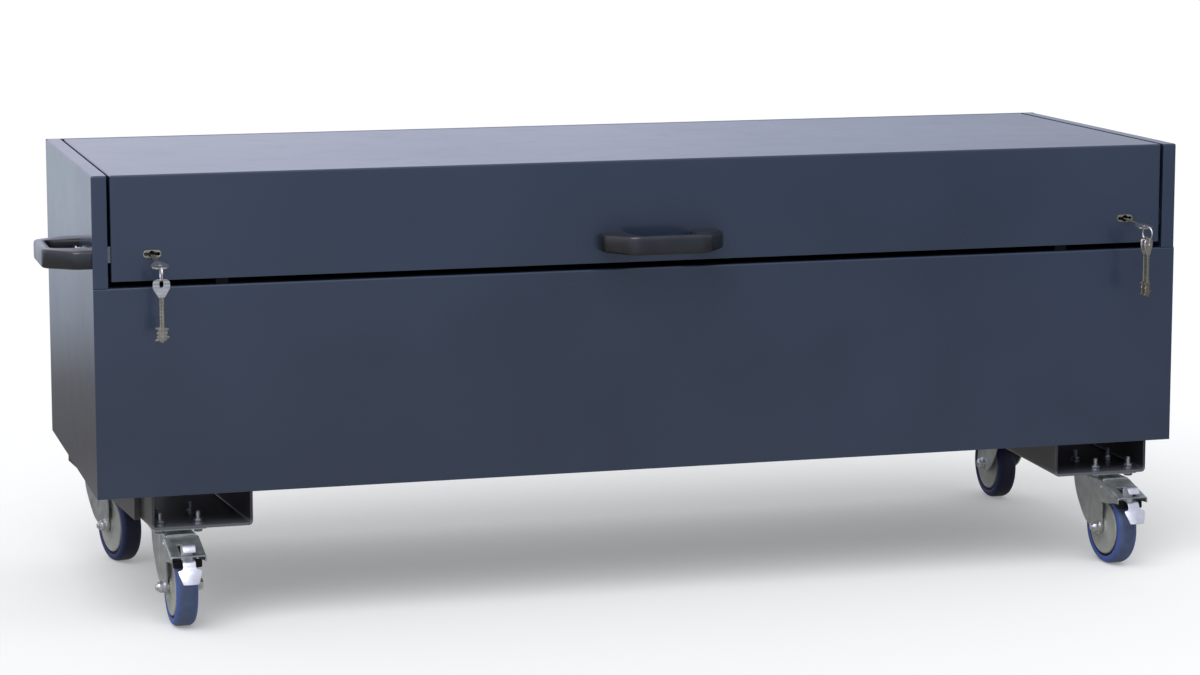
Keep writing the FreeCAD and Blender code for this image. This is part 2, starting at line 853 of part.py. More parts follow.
def ring_centre(side, droop, yaw):
    """The ring hangs inside the eye, on the strip at the bow's end."""
    strip = (key_length - key_insertion) - key_eye_edge / 2
    hang = key_thickness / 2 / math.cos(math.radians(droop)) + ring_clearance
    keyhole = V(side * (right - keyhole_inset), front, keyhole_z)
    crest = keyhole + key_axis(droop, yaw) * strip
    drop = ring_outer_radius - 2 * ring_wire_radius - hang - key_eye_edge / 2 * math.tan(math.radians(droop))
    return crest - V(0, 0, drop)


def key_ring(side, droop, yaw, turn):
    """A ring of hexagonal wire, turned about the vertical."""
    middle_radius = ring_outer_radius - ring_wire_radius
    direction = V(math.cos(math.radians(turn)), math.sin(math.radians(turn)), 0)
    section = []
    for step in range(6):
        angle = math.radians(60 * step)
        section.append((middle_radius + ring_wire_radius * math.cos(angle),
                        ring_wire_radius * math.sin(angle)))
    return revolved(section, ring_centre(side, droop, yaw), direction)


def spare_key(side, droop, yaw, ring_turn, own_turn, place):
    """A key hanging by its eye from the bottom of a ring."""
    piece = key()
    piece.translate(V(0, 0, key_eye_edge + ring_clearance))
    piece.rotate(V(0, 0, 0), V(0, 0, 1), ring_turn + own_turn)
    tangent = V(-math.sin(math.radians(ring_turn)), math.cos(math.radians(ring_turn)), 0)
    middle_radius = ring_outer_radius - ring_wire_radius
    rise = middle_radius - math.sqrt(middle_radius ** 2 - place ** 2)
    wire_top = ring_centre(side, droop, yaw) - V(0, 0, middle_radius - ring_wire_radius - rise)
    piece.translate(wire_top + tangent * place)
    return piece


# Gas struts, drawn for the left side and mirrored for the right

def strut_points():
    """Foot and head pivots of the left strut."""
    x = left + strut_inset
    foot = V(x, hinge_y - strut_foot_back, hinge_z - strut_foot_drop)
    head = V(x, hinge_y - strut_lid_back, hinge_z - strut_lid_drop)
    return foot, head


def strut_open_head():
    """The left strut's head when the lid is fully open."""
    foot, head = strut_points()
    opened = Part.Vertex(head)
    opened.rotate(V(head.x, hinge_y, hinge_z), V(-1, 0, 0), lid_opening_angle)
    return opened.Point


def strut_stroke():
    """How far the rod comes out while the lid opens."""
    foot, head = strut_points()
    return (strut_open_head() - foot).Length - (head - foot).Length


def strut_cylinder():
    """The tube, long enough to guide the piston with the lid open, and its foot eye."""
    foot, head = strut_points()
    along = (head - foot).normalize()
    bottom = foot + along * (strut_eye_radius + strut_neck_length)
    piston_top = strut_rod_start + strut_stroke() + strut_piston_length
    mouth = foot + along * (piston_top + strut_rod_guide + strut_collar_length)
    collar_low = mouth - along * strut_collar_length
    tube = cylinder(bottom, mouth, strut_cylinder_radius)
    bore = cylinder(bottom + along * strut_end_thickness, mouth + along,
                    strut_cylinder_radius - strut_cylinder_wall)
    collar = cylinder(collar_low, mouth, strut_cylinder_radius)
    collar_bore = cylinder(collar_low - along, mouth + along, strut_rod_radius + strut_rod_clearance)
    eye = cylinder(foot - V(strut_eye_thickness / 2, 0, 0), foot + V(strut_eye_thickness / 2, 0, 0),
                   strut_eye_radius)
    neck = cylinder(foot, bottom + along, strut_eye_thickness / 2 * 0.95)
    stud_hole = cylinder(foot - V(strut_eye_thickness, 0, 0), foot + V(strut_eye_thickness, 0, 0),
                         strut_stud_radius + strut_stud_clearance)
    tube = joined([tube.cut(bore), collar.cut(collar_bore)])
    return joined([tube, eye, neck]).cut(stud_hole)


def strut_rod():
    """The rod, its piston and the ball stud at its head."""
    foot, head = strut_points()
    along = (head - foot).normalize()
    inner_end = foot + along * strut_rod_start
    piston_radius = strut_cylinder_radius - strut_cylinder_wall - strut_piston_clearance
    stem = cylinder(inner_end, head - along * (strut_eye_radius / 2), strut_rod_radius)
    piston = cylinder(inner_end, inner_end + along * strut_piston_length, piston_radius)
    socket = cylinder(head - V(strut_eye_thickness / 2, 0, 0), head + V(strut_eye_thickness / 2, 0, 0),
                      strut_eye_radius)
    reach = strut_plate_x_face() + strut_cut_clearance - head.x
    stud = cylinder(head, head + V(reach, 0, 0), strut_stud_radius)
    return joined([stem, piston, socket, stud])


def strut_plate_x_face():
    """The face of the lid's strut bracket that the ball stud stands against."""
    return left + strut_inset - strut_eye_thickness / 2 - strut_plate_gap


def strut_upper_bracket():
    """An angle under the lid's top whose hanging plate carries the strut's head."""
    foot, head = strut_points()
    face = strut_plate_x_face()
    under = top - sheet
    path = [(face, head.z - strut_plate_overhang), (face, under), (-lid_half_width + sheet, under)]
    return folded("y", head.y - strut_plate_width / 2, head.y + strut_plate_width / 2,
                  path, strut_plate_thickness, strut_bracket_bend)


def strut_lower_bracket():
    """A folded bracket on the end wall with the stud that the strut's foot turns on."""
    foot, head = strut_points()
    wall = left + sheet
    plate_face = foot.x - strut_cylinder_radius - strut_side_clearance
    half = strut_plate_width / 2
    plate_back = plate_face - strut_plate_thickness
    path = [(plate_back, foot.y + half), (plate_back, foot.y - half), (wall, foot.y - half),
            (wall, foot.y - half - strut_bracket_foot)]
    plate = folded("z", foot.z - half, foot.z + half, path, strut_plate_thickness, strut_bracket_bend)
    stud_end = foot.x + strut_eye_thickness / 2 + strut_stud_tail
    stud = cylinder(V(plate_back, foot.y, foot.z), V(stud_end, foot.y, foot.z), strut_stud_radius)
    cap_start = foot.x + strut_eye_thickness / 2 + strut_cap_gap
    cap = cylinder(V(cap_start, foot.y, foot.z), V(cap_start + strut_cap_thickness, foot.y, foot.z),
                   strut_stud_radius + strut_cap_lip)
    return joined([plate, stud, cap])


# Skids

def skid(outer_x, width, splay):
    """A channel with its open side up, splayed so that its back end stands further out."""
    inward = 1 if outer_x < 0 else -1
    low = castor_height
    high = castor_height + skid_height
    x0 = outer_x
    x1 = outer_x + inward * width
    path = [(min(x0, x1), high), (min(x0, x1), low), (max(x0, x1), low), (max(x0, x1), high)]
    channel = folded("y", front + skid_front_recess, back - skid_front_recess, path,
                     skid_sheet, skid_bend, (splay, 0))
    return channel


def skid_shift(splay, y):
    """How far a splayed channel has moved sideways at a place along Y."""
    start = front + skid_front_recess
    return splay * (y - start) / (casing_depth - 2 * skid_front_recess)


def skid_side_plate(outer_x, splay):
    """A flat bar along the outboard wall of a skid channel."""
    outward = -1 if outer_x < 0 else 1
    start = front + side_plate_setback
    x = outer_x + skid_shift(splay, start)
    outline = [(x, castor_height), (x + outward * side_plate_thickness, castor_height),
               (x + outward * side_plate_thickness, base), (x, base)]
    end = back - skid_front_recess
    return prism("y", start, end, outline, 0, (skid_shift(splay, end) - skid_shift(splay, start), 0))


# Castors, each drawn about a kingpin on the Z axis with its wheel towards -Y

def castor_places():
    """Name, kingpin place and swivel angle of each castor, set in from its channel's outer wall."""
    front_y = front + front_castor_inset
    rear_y = back - rear_castor_inset
    left_x = left + left_skid_inset + left_castor_inset
    right_x = right - right_skid_inset - right_castor_inset
    return [("front_left", left_x + skid_shift(left_skid_splay, front_y), front_y, front_left_swivel),
            ("front_right", right_x + skid_shift(right_skid_splay, front_y), front_y, front_right_swivel),
            ("rear_left", left_x + skid_shift(left_skid_splay, rear_y), rear_y, rear_left_swivel),
            ("rear_right", right_x + skid_shift(right_skid_splay, rear_y), rear_y, rear_right_swivel)]


def at_castor(shape, x, y, angle=0.0):
    piece = shape.copy()
    piece.rotate(V(0, 0, 0), V(0, 0, 1), angle)
    piece.translate(V(x, y, 0))
    return piece


def bolt_spots():
    """The four bolt places of a castor plate about its kingpin."""
    spots = []
    for side in (-1, 1):
        for end in (-1, 1):
            spots.append((side * castor_bolt_spacing_x / 2, end * castor_bolt_spacing_y / 2))
    return spots


def castor_plate():
    """The top plate with its race and the riveted kingpin."""
    half_x = castor_plate_width / 2
    half_y = castor_plate_length / 2
    plate_low = castor_height - castor_plate_thickness
    plate = prism("z", plate_low, castor_height,
                  [(-half_x, -half_y), (half_x, -half_y), (half_x, half_y), (-half_x, half_y)],
                  castor_plate_rounding)
    holes = []
    for x, y in bolt_spots():
        holes.append(cylinder(V(x, y, plate_low - 1), V(x, y, castor_height + 1), castor_bolt_radius))
    plate = without(plate, holes)
    race_low = plate_low - race_depth
    head_low = race_low - fork_sheet - kingpin_head_height - seat_gap
    race = cylinder(V(0, 0, plate_low), V(0, 0, race_low + race_gap), race_radius)
    pin = cylinder(V(0, 0, plate_low), V(0, 0, head_low), kingpin_radius)
    head = cylinder(V(0, 0, head_low), V(0, 0, head_low + kingpin_head_height - kingpin_seat_gap),
                    kingpin_head_radius)
    return joined([plate, race, pin, head])


def castor_hole_tools(x, y):
    """Bolt holes through a skid's web above one castor."""
    tools = []
    for dx, dy in bolt_spots():
        tools.append(cylinder(V(x + dx, y + dy, castor_height - 1),
                              V(x + dx, y + dy, castor_height + skid_sheet + 1), castor_bolt_radius))
    return tools


def castor_bolt():
    """A hexagon bolt from below with a washer and nut above the skid's web."""
    plate_low = castor_height - castor_plate_thickness
    web_top = castor_height + skid_sheet
    head = hexagon(V(0, 0, plate_low - castor_bolt_head_height), V(0, 0, plate_low), castor_bolt_head_width)
    shank = cylinder(V(0, 0, plate_low), V(0, 0, plate_low + castor_bolt_length), castor_bolt_radius)
    washer = cylinder(V(0, 0, web_top), V(0, 0, web_top + castor_washer_height), castor_washer_radius)
    nut_low = web_top + castor_washer_height
    nut = hexagon(V(0, 0, nut_low), V(0, 0, nut_low + castor_nut_height), castor_bolt_head_width)
    return joined([head, shank, washer, nut])


def fork():
    """A pressed swivel fork: a channel trimmed to the side view of its legs, with an axle hole."""
    crown_top = castor_height - castor_plate_thickness - race_depth
    low = wheel_radius - fork_trim
    path = [(-fork_half_width, low), (-fork_half_width, crown_top), (fork_half_width, crown_top),
            (fork_half_width, low)]
    axle_y = -castor_offset
    above = crown_top + fork_sheet
    channel = folded("y", axle_y - fork_trim, fork_back_reach, path[::-1], fork_sheet, fork_bend)
    foot_z = wheel_radius - fork_foot_drop
    side_view = [(fork_back_reach, above), (fork_back_reach, crown_top - fork_back_drop),
                 (axle_y + fork_foot_half, foot_z), (axle_y - fork_foot_half, foot_z),
                 (axle_y - fork_nose_reach, wheel_radius + fork_nose_rise),
                 (axle_y - fork_shoulder_reach, crown_top - fork_shoulder_drop),
                 (axle_y, crown_top - fork_front_drop), (axle_y, above)]
    trimmed = channel.common(prism("x", -2 * fork_half_width, 2 * fork_half_width, side_view,
                                   [0, 6, 8, 8, 8, 6, 0, 0]))
    hole = cylinder(V(0, 0, low), V(0, 0, above), kingpin_radius + kingpin_clearance)
    axle_hole = cylinder(V(-2 * fork_half_width, axle_y, wheel_radius),
                         V(2 * fork_half_width, axle_y, wheel_radius), axle_radius)
    return without(trimmed, [hole, axle_hole])


def axle():
    """The axle bolt with its nut, and the bush that the wheel runs on."""
    axle_y = -castor_offset
    outer = fork_half_width
    inner = fork_half_width - fork_sheet
    shank = cylinder(V(-outer - axle_tail, axle_y, wheel_radius), V(outer, axle_y, wheel_radius), axle_radius)
    head = hexagon(V(outer, axle_y, wheel_radius), V(outer + axle_head_height, axle_y, wheel_radius),
                   axle_head_width)
    nut = hexagon(V(-outer, axle_y, wheel_radius), V(-outer - axle_nut_height, axle_y, wheel_radius),
                  axle_head_width)
    bush = cylinder(V(-inner, axle_y, wheel_radius), V(inner, axle_y, wheel_radius), bush_radius)
    return joined([shank, head, nut, bush])


def wheel_centre():
    """Hub, dished web and rim turned in one piece."""
    rim = wheel_radius - tyre_thickness
    half = wheel_width / 2
    profile = [(bush_radius + bush_clearance, -hub_width / 2), (hub_radius, -hub_width / 2),
               (hub_radius, -web_width / 2), (rim - rim_flange, -web_width / 2),
               (rim - rim_flange, -half), (rim, -half)]
    outline = profile + [(radius, -along) for radius, along in profile[::-1]]
    return revolved(outline, V(0, -castor_offset, wheel_radius), V(1, 0, 0))


def tyre():
    """A moulded tyre with chamfered shoulders."""
    rim = wheel_radius - tyre_thickness
    half = wheel_width / 2
    profile = [(rim, -half), (wheel_radius - tyre_chamfer, -half), (wheel_radius, -half + tyre_chamfer)]
    outline = profile + [(radius, -along) for radius, along in profile[::-1]]
    return revolved(outline, V(0, -castor_offset, wheel_radius), V(1, 0, 0))


# Brakes

def brake_slope(y):
    """Height of the brake cover's top face at a place along Y."""
    crown = castor_height - castor_plate_thickness - race_depth
    return crown + (y + castor_offset) * brake_cover_drop / brake_cover_reach


def brake_pivot():
    y = -castor_offset - brake_pivot_reach
    return V(0, y, brake_slope(y) - brake_pivot_drop)


def brake_cover():
    """A sloping channel over the wheel with a slot for the tab and hooked front corners."""
    start = -castor_offset
    end = start - brake_cover_reach
    width = brake_cover_half_width
    high = brake_slope(start)
    low = high - 2 * brake_cover_flange
    over = high + brake_cover_flange
    path = [(width, low), (width, high), (-width, high), (-width, low)]
    channel = folded("y", start, end, path, brake_cover_sheet, brake_cover_bend, (0, brake_slope(end) - high))
    nose = end + brake_cover_nose_run
    waist = start - brake_cover_waist_run
    side_view = [(start, over), (end, over), (end, brake_slope(end) - brake_cover_lip),
                 (nose, brake_slope(nose) - brake_cover_nose_drop),
                 (waist, brake_slope(waist) - brake_cover_waist_drop),
                 (start - brake_cover_heel_run, high - brake_cover_flange),
                 (start, high - brake_cover_flange)]
    cover = channel.common(prism("x", -width, width, side_view, [0, 0, 4, 8, 8, 0, 0]))
    slot_end = end + brake_slot_land
    slot_start = slot_end + brake_slot_length
    half_slot = brake_slot_width / 2
    half_mouth = half_slot + brake_mouth_flare
    slot = prism("z", low, over, [(-half_slot, slot_end), (half_slot, slot_end), (half_slot, slot_start),
                                  (-half_slot, slot_start)], 2)
    mouth = prism("z", low, over, [(-half_mouth, end - 1), (half_mouth, end - 1),
                                   (half_slot - 1, end + brake_mouth_depth),
                                   (1 - half_slot, end + brake_mouth_depth)], [0, 0, 3, 3])
    pivot = brake_pivot()
    half_pin = V(width + 1, 0, 0)
    pin = cylinder(pivot - half_pin, pivot + half_pin, brake_pivot_radius)
    return joined([without(cover, [slot, mouth, pin]), pin])


def brake_pedal():
    """The pedal: a pivoted arm under the cover, a tab up through the slot and a foot plate."""
    pivot = brake_pivot()
    arm_half = brake_arm_width / 2
    knee_y = -castor_offset - brake_knee_reach
    knee_top = brake_slope(knee_y)
    knee = (knee_y, knee_top - brake_knee_drop)
    ankle = (-castor_offset - brake_ankle_reach, knee_top - brake_ankle_drop)
    toe = (-castor_offset - brake_toe_reach, knee_top - brake_toe_drop)
    path = [(pivot.y + 2, pivot.z - brake_eye_wall), knee, ankle, toe]
    profile, radii = sheet_outline(path, brake_arm_sheet, brake_pedal_bend)
    plate = prism("x", -brake_pedal_width / 2, brake_pedal_width / 2, profile, radii)
    neck_z = ankle[1] + 3
    foot_top = neck_z - brake_foot_slant
    foot_low = toe[1] - brake_foot_slant
    arm_low = knee[1] - brake_arm_sheet
    half_neck = brake_pedal_neck / 2
    half_foot = brake_pedal_width / 2
    half_toe = half_foot - brake_foot_corner
    over = pivot.z + 20
    front_view = prism("y", toe[0] - 10, pivot.y + 10,
                       [(-arm_half, over), (-arm_half, arm_low), (-half_neck, neck_z), (-half_foot, foot_top),
                        (-half_toe, foot_low), (half_toe, foot_low), (half_foot, foot_top),
                        (half_neck, neck_z), (arm_half, arm_low), (arm_half, over)],
                       [0, 0, 0, 2, 4, 4, 2, 0, 0, 0])
    plate = plate.common(front_view)
    half_eye = V(arm_half, 0, 0)
    eye = cylinder(pivot - half_eye, pivot + half_eye, brake_pivot_radius + brake_eye_wall)
    tab_low = knee[1] - 1
    tab_high = brake_slope(-castor_offset - brake_tab_reach) + brake_tab_rise
    half_tab = brake_tab_width / 2
    half_tip = half_tab - brake_tab_corner
    tab_side = tab_high - brake_tab_corner
    tab = prism("y", knee_y - brake_arm_sheet + 1, knee_y + 1,
                [(-half_tab, tab_low), (half_tab, tab_low), (half_tab, tab_side), (half_tip, tab_high),
                 (-half_tip, tab_high), (-half_tab, tab_side)])
    bore = cylinder(pivot - 2 * half_eye, pivot + 2 * half_eye, brake_pivot_radius + brake_pivot_clearance)
    return joined([plate, eye, tab]).cut(bore)


# Assembly

def build_all():
    panel = end_panel()
    save("left_end_panel", panel_with_screw_holes(panel, left_handle_setback))
    save("right_end_panel", mirrored(panel_with_screw_holes(panel, right_handle_setback)))
    save("front_panel", front_panel())
    save("back_panel", back_panel())
    save("floor_panel", floor_panel())

    left_outer = left + left_skid_inset
    right_outer = right - right_skid_inset
    hole_tools = []
    for name, x, y, angle in castor_places():
        hole_tools = hole_tools + castor_hole_tools(x, y)
    save("left_skid", without(skid(left_outer, left_skid_width, left_skid_splay), hole_tools))
    save("right_skid", without(skid(right_outer, right_skid_width, right_skid_splay), hole_tools))
    save("skid_side_plates", [skid_side_plate(left_outer, left_skid_splay),
                              skid_side_plate(right_outer, right_skid_splay)])

    save("lid_shell", lid_shell())
    save("lid_stiffeners", lid_stiffeners())
    save("lid_buffers", lid_buffers())
    save("hinge_casing_leaf", hinge_casing_leaf())
    save("hinge_lid_leaf", hinge_lid_leaf())
    save("hinge_pin", hinge_pin())

    grip = handle()
    screws = handle_screws()
    save("lid_handle", on_skirt(grip))
    save("lid_handle_screws", [on_skirt(screw) for screw in screws])
    save("left_side_handle", on_left_side(grip, left_handle_setback))
    save("right_side_handle", mirrored(on_left_side(grip, right_handle_setback)))
    left_screws = [on_left_side(screw, left_handle_setback) for screw in screws]
    right_screws = [mirrored(on_left_side(screw, right_handle_setback)) for screw in screws]
    save("side_handle_screws", left_screws + right_screws)

    save("left_lock_case", lock_case())
    save("right_lock_case", mirrored(lock_case()))
    save("left_deadbolt", deadbolt())
    save("right_deadbolt", mirrored(deadbolt()))
    save("keyhole_liners", [keyhole_liner(), mirrored(keyhole_liner())])
    left_lean = (-1, left_key_droop, left_key_yaw)
    right_lean = (1, right_key_droop, right_key_yaw)
    save("left_key", inserted_key(*left_lean))
    save("right_key", inserted_key(*right_lean))
    save("left_key_ring", key_ring(*left_lean, left_ring_turn))
    save("right_key_ring", key_ring(*right_lean, right_ring_turn))
    save("left_spare_key", spare_key(*left_lean, left_ring_turn, left_spare_turn, 0))
    save("right_spare_key_1", spare_key(*right_lean, right_ring_turn, right_spare_turn, -spare_spacing / 2))
    save("right_spare_key_2", spare_key(*right_lean, right_ring_turn, right_spare_turn, spare_spacing / 2))

    save("left_strut_cylinder", strut_cylinder())
    save("right_strut_cylinder", mirrored(strut_cylinder()))
    save("left_strut_rod", strut_rod())
    save("right_strut_rod", mirrored(strut_rod()))
    save("strut_lower_brackets", [strut_lower_bracket(), mirrored(strut_lower_bracket())])
    save("strut_upper_brackets", [strut_upper_bracket(), mirrored(strut_upper_bracket())])

    plates = []
    fixings = []
    for name, x, y, angle in castor_places():
        plates.append(at_castor(castor_plate(), x, y))
        fixings = fixings + [at_castor(castor_bolt(), x + dx, y + dy) for dx, dy in bolt_spots()]
        save(name + "_fork", at_castor(fork(), x, y, angle))
        save(name + "_axle", at_castor(axle(), x, y, angle))
        save(name + "_wheel_centre", at_castor(wheel_centre(), x, y, angle))
        save(name + "_tyre", at_castor(tyre(), x, y, angle))
        if name.startswith("front"):
            save(name + "_brake_cover", at_castor(brake_cover(), x, y, angle))
            save(name + "_brake_pedal", at_castor(brake_pedal(), x, y, angle))
    save("castor_plates", plates)
    save("castor_fixings", fixings)


os.makedirs("parts", exist_ok=True)
build_all()
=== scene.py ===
import json
import math

import bmesh
import bpy
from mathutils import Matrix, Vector


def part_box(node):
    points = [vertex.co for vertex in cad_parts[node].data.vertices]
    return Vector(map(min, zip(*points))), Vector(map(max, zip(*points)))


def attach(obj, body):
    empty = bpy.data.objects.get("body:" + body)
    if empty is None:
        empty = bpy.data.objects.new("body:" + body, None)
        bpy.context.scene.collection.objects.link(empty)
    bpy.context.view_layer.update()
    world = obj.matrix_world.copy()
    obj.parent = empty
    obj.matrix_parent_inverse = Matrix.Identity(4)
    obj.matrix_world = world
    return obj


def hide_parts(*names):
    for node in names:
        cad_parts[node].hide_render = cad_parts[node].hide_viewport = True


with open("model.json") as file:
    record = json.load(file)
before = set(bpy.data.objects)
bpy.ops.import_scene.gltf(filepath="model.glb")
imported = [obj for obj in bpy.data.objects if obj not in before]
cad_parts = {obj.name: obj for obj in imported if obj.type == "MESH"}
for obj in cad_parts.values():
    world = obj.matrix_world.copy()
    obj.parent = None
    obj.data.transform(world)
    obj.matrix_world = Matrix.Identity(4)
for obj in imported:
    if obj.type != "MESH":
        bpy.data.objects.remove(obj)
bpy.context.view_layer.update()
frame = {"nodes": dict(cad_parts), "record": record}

CASTORS = ("front_left", "front_right", "rear_left", "rear_right")

# Frame facts, in metres
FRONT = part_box("front_panel")[0].y
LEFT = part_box("left_end_panel")[0].x
JOINTS = {joint["name"]: joint for joint in frame["record"]["behaviour"]["joints"]}

# Camera, from the photograph's perspective: pixels of the photograph, the sensor in millimetres,
# and the camera's place in metres from the casing's left end, its front and the ground
PHOTO_WIDTH = 1200.0
PHOTO_HEIGHT = 675.0
FOCAL_PIXELS = 3274.0
PRINCIPAL_Y = 265.0
SENSOR_WIDTH = 36.0
CAMERA_FROM_CORNER = Vector((-0.6142, -4.9517, 1.2553))
CAMERA_FORWARD = Vector((0.27245, 0.95239, -0.13682))

# Light: the surroundings' strength on the object with its tint, and the lamp
DAYLIGHT = 0.62
DAYLIGHT_TINT = (0.985, 1.0, 1.03)
SUN = 1.40
SUN_WIDTH = math.radians(50)
SUN_DIRECTION = Vector((0.35, 0.55, -0.9))

# What the finishes mirror: the surroundings by their direction's X, from nought to one, and the floor by
# its place along Y, from one reach in front to one behind
MIRRORED_SKY = [(0.0, (0.82, 0.84, 1.01)), (0.14, (0.80, 0.825, 1.01)), (0.26, (0.69, 0.725, 0.91)),
                (0.37, (0.535, 0.58, 0.73)), (0.45, (0.515, 0.54, 0.65)), (1.0, (0.56, 0.59, 0.67))]
# The floor's part is a painted reflection, with painted shade where it is dimmest, 1 to 2 m behind
MIRRORED_FLOOR = [(0.0, (0.52, 0.66, 0.90)), (0.14, (0.44, 0.51, 0.64)), (0.28, (0.41, 0.40, 0.40)),
                  (0.5, (0.35, 0.34, 0.32)), (0.62, (0.15, 0.14, 0.135)), (0.70, (0.19, 0.185, 0.185)),
                  (0.80, (0.44, 0.485, 0.57)), (1.0, (0.655, 0.73, 0.85))]
MIRRORED_FLOOR_REACH = 5.0

# The mirrored floor's fade along X: from and to in metres, and the strength at each. Then the real floor
# Painted reflection: the mirrored floor fades along X
MIRRORED_FLOOR_FADE = (-0.7, 2.4, 1.0, 0.50)
FLOOR_REACH = 120.0
FLOOR_COLOR = (0.82, 0.82, 0.82)
FLOOR_GLOW = 0.22
WHITE = (1.0, 1.0, 1.0)


# Shader building

class Nodes:
    """A node tree with short calls for adding nodes and joining them."""

    def __init__(self, tree):
        self.tree = tree

    def add(self, kind, values=None, **settings):
        node = self.tree.nodes.new(kind)
        for key, value in settings.items():
            setattr(node, key, value)
        for key, value in (values or {}).items():
            self.set(node.inputs[key], value)
        return node

    def set(self, socket, value):
        if isinstance(value, bpy.types.NodeSocket):
            self.tree.links.new(value, socket)
        elif isinstance(value, tuple) and len(value) == 3 and socket.type == "RGBA":
            socket.default_value = (*value, 1.0)
        else:
            socket.default_value = value

    def math(self, operation, first, second=0.0):
        return self.add("ShaderNodeMath", {0: first, 1: second}, operation=operation).outputs[0]

    def mix(self, factor, first, second):
        """Two colours mixed by a factor."""
        node = self.add("ShaderNodeMix", data_type="RGBA", clamp_factor=True)
        for number, value in ((0, factor), (6, first), (7, second)):
            self.set(node.inputs[number], value)
        return node.outputs[2]

    def ramp(self, factor, low, high, start=0.0, end=1.0):
        """A factor spread between two values or colours."""
        if isinstance(start, tuple):
            return self.mix(self.ramp(factor, low, high), start, end)
        values = {0: factor, 1: low, 2: high, 3: start, 4: end}
        return self.add("ShaderNodeMapRange", values, clamp=True).outputs[0]

    def color_row(self, factor, stops):
        """The colour that a row of (place, colour) stops has at a factor."""
        node = self.add("ShaderNodeValToRGB", {0: factor})
        elements = node.color_ramp.elements
        elements[0].position = stops[0][0]
        elements[1].position = stops[-1][0]
        for position, _ in stops[1:-1]:
            elements.new(position)
        for element, (_, color) in zip(elements, stops):
            element.color = (*color, 1.0)
        return node.outputs[0]


class Shader(Nodes):
    """A node material with short calls for what the finishes share."""

    SOCKETS = {"color": "Base Color", "metal": "Metallic", "rough": "Roughness", "normal": "Normal",
               "ior": "IOR", "coat": "Coat Weight", "coat_rough": "Coat Roughness",
               "coat_normal": "Coat Normal", "specular": "Specular IOR Level"}

    def __init__(self, name):
        self.material = bpy.data.materials.new(name)
        self.material.use_nodes = True
        super().__init__(self.material.node_tree)
        self.principled = self.tree.nodes["Principled BSDF"]
        self.place = self.add("ShaderNodeTexCoord").outputs["Object"]

    def surface(self, **values):
        for key, value in values.items():
            self.set(self.principled.inputs[self.SOCKETS[key]], value)

    def stored(self, name):
        """A number stored on the mesh's points."""
        return self.add("ShaderNodeAttribute", attribute_name=name).outputs["Fac"]

    def noise(self, scale, detail=4.0, rough=0.5, stretch=None):
        """Noise in object coordinates, which stretch multiplies by a scale on each axis."""
        vector = self.place
        if stretch:
            values = {0: self.place, 1: stretch}
            vector = self.add("ShaderNodeVectorMath", values, operation="MULTIPLY").outputs[0]
        values = {"Vector": vector, "Scale": scale, "Detail": detail, "Roughness": rough}
        return self.add("ShaderNodeTexNoise", values).outputs[0]

    def bump(self, height, distance, normal=None):
        node = self.add("ShaderNodeBump", {"Height": height, "Distance": distance, "Strength": 1.0})
        if normal is not None:
            self.set(node.inputs["Normal"], normal)
        return node.outputs[0]

    def rounded(self, radius):
        return self.add("ShaderNodeBevel", {"Radius": radius}, samples=6).outputs[0]

    def edges(self, radius, high=0.3):
        """Nought on flat faces and one along sharp edges, from a rounded normal."""
        flat = self.add("ShaderNodeNewGeometry").outputs["Normal"]
        values = {0: self.rounded(radius), 1: flat}
        dot = self.add("ShaderNodeVectorMath", values, operation="DOT_PRODUCT").outputs["Value"]
        return self.ramp(self.math("SUBTRACT", 1.0, dot), 0.02, high)


def shade(color, share, lift=0.0):
    """A colour made darker or lighter."""
    return tuple(min(1.0, part * share + lift) for part in color)


# Finishes

# Painted highlight: the fork pockets' front lips are painted lighter where light catches them: along Y and
# Z, in metres
LIP_FRONT, LIP_BACK = -0.283, -0.20
LIP_FULL, LIP_END = 0.1625, 0.1665
LIP_HIGHLIGHT_COLOR = (0.10, 0.105, 0.125)

# Rubbed lines across a key's bow: radians per metre along the key, and where they fade, in metres
LINE_PHASE = 1150.0
LINES_FULL, LINES_END = 0.004, 0.018


def powder_coat(name, color, rough=0.3, rim=0.0012, rim_wear_and_highlight_color=None, lit_lip=False):
    """Semi-gloss powder coat on thin sheet: orange peel, slow waves in the sheet, edges lighter from wear
    and painted highlight.
    """
    s = Shader(name)
    clouds = s.noise(2.3, 3.0)
    base = s.ramp(clouds, 0.3, 0.7, shade(color, 0.86), shade(color, 1.16))
    edge = s.edges(rim)
    wear_and_highlight_patches = s.ramp(s.noise(38.0, 5.0, 0.65), 0.45, 0.7)
    if lit_lip:
        # Painted highlight on the fork pockets' front lips
        spot = s.add("ShaderNodeSeparateXYZ", {0: s.place})
        lip_highlight = s.math("MULTIPLY", s.ramp(spot.outputs["Y"], LIP_FRONT, LIP_BACK, 1.0, 0.0),
                     s.ramp(spot.outputs["Z"], LIP_FULL, LIP_END, 1.0, 0.0))
        base = s.mix(lip_highlight, base, LIP_HIGHLIGHT_COLOR)
    # Edges lighter: partly wear, partly painted highlight
    edge_wear_and_highlight = s.math("MULTIPLY", edge, s.math("MULTIPLY_ADD", wear_and_highlight_patches, 0.5))
    base = s.mix(edge_wear_and_highlight, base, rim_wear_and_highlight_color or shade(color, 2.6, 0.02))
    roughness = s.math("ADD", s.ramp(clouds, 0.3, 0.7, rough - 0.03, rough + 0.04),
                       s.math("MULTIPLY", s.ramp(s.noise(14.0, 6.0, 0.7), 0.5, 0.75), 0.04))
    waves = s.noise(1.0, 2.0, 0.4, stretch=(3.2, 6.5, 2.2))
    peel = s.noise(420.0, 2.0)
    normal = s.bump(peel, 0.00002, s.bump(waves, 0.00016, s.rounded(0.0008)))
    s.surface(color=base, rough=roughness, normal=normal, ior=1.5, coat=0.55, coat_rough=0.14,
              coat_normal=normal)
    return s.material


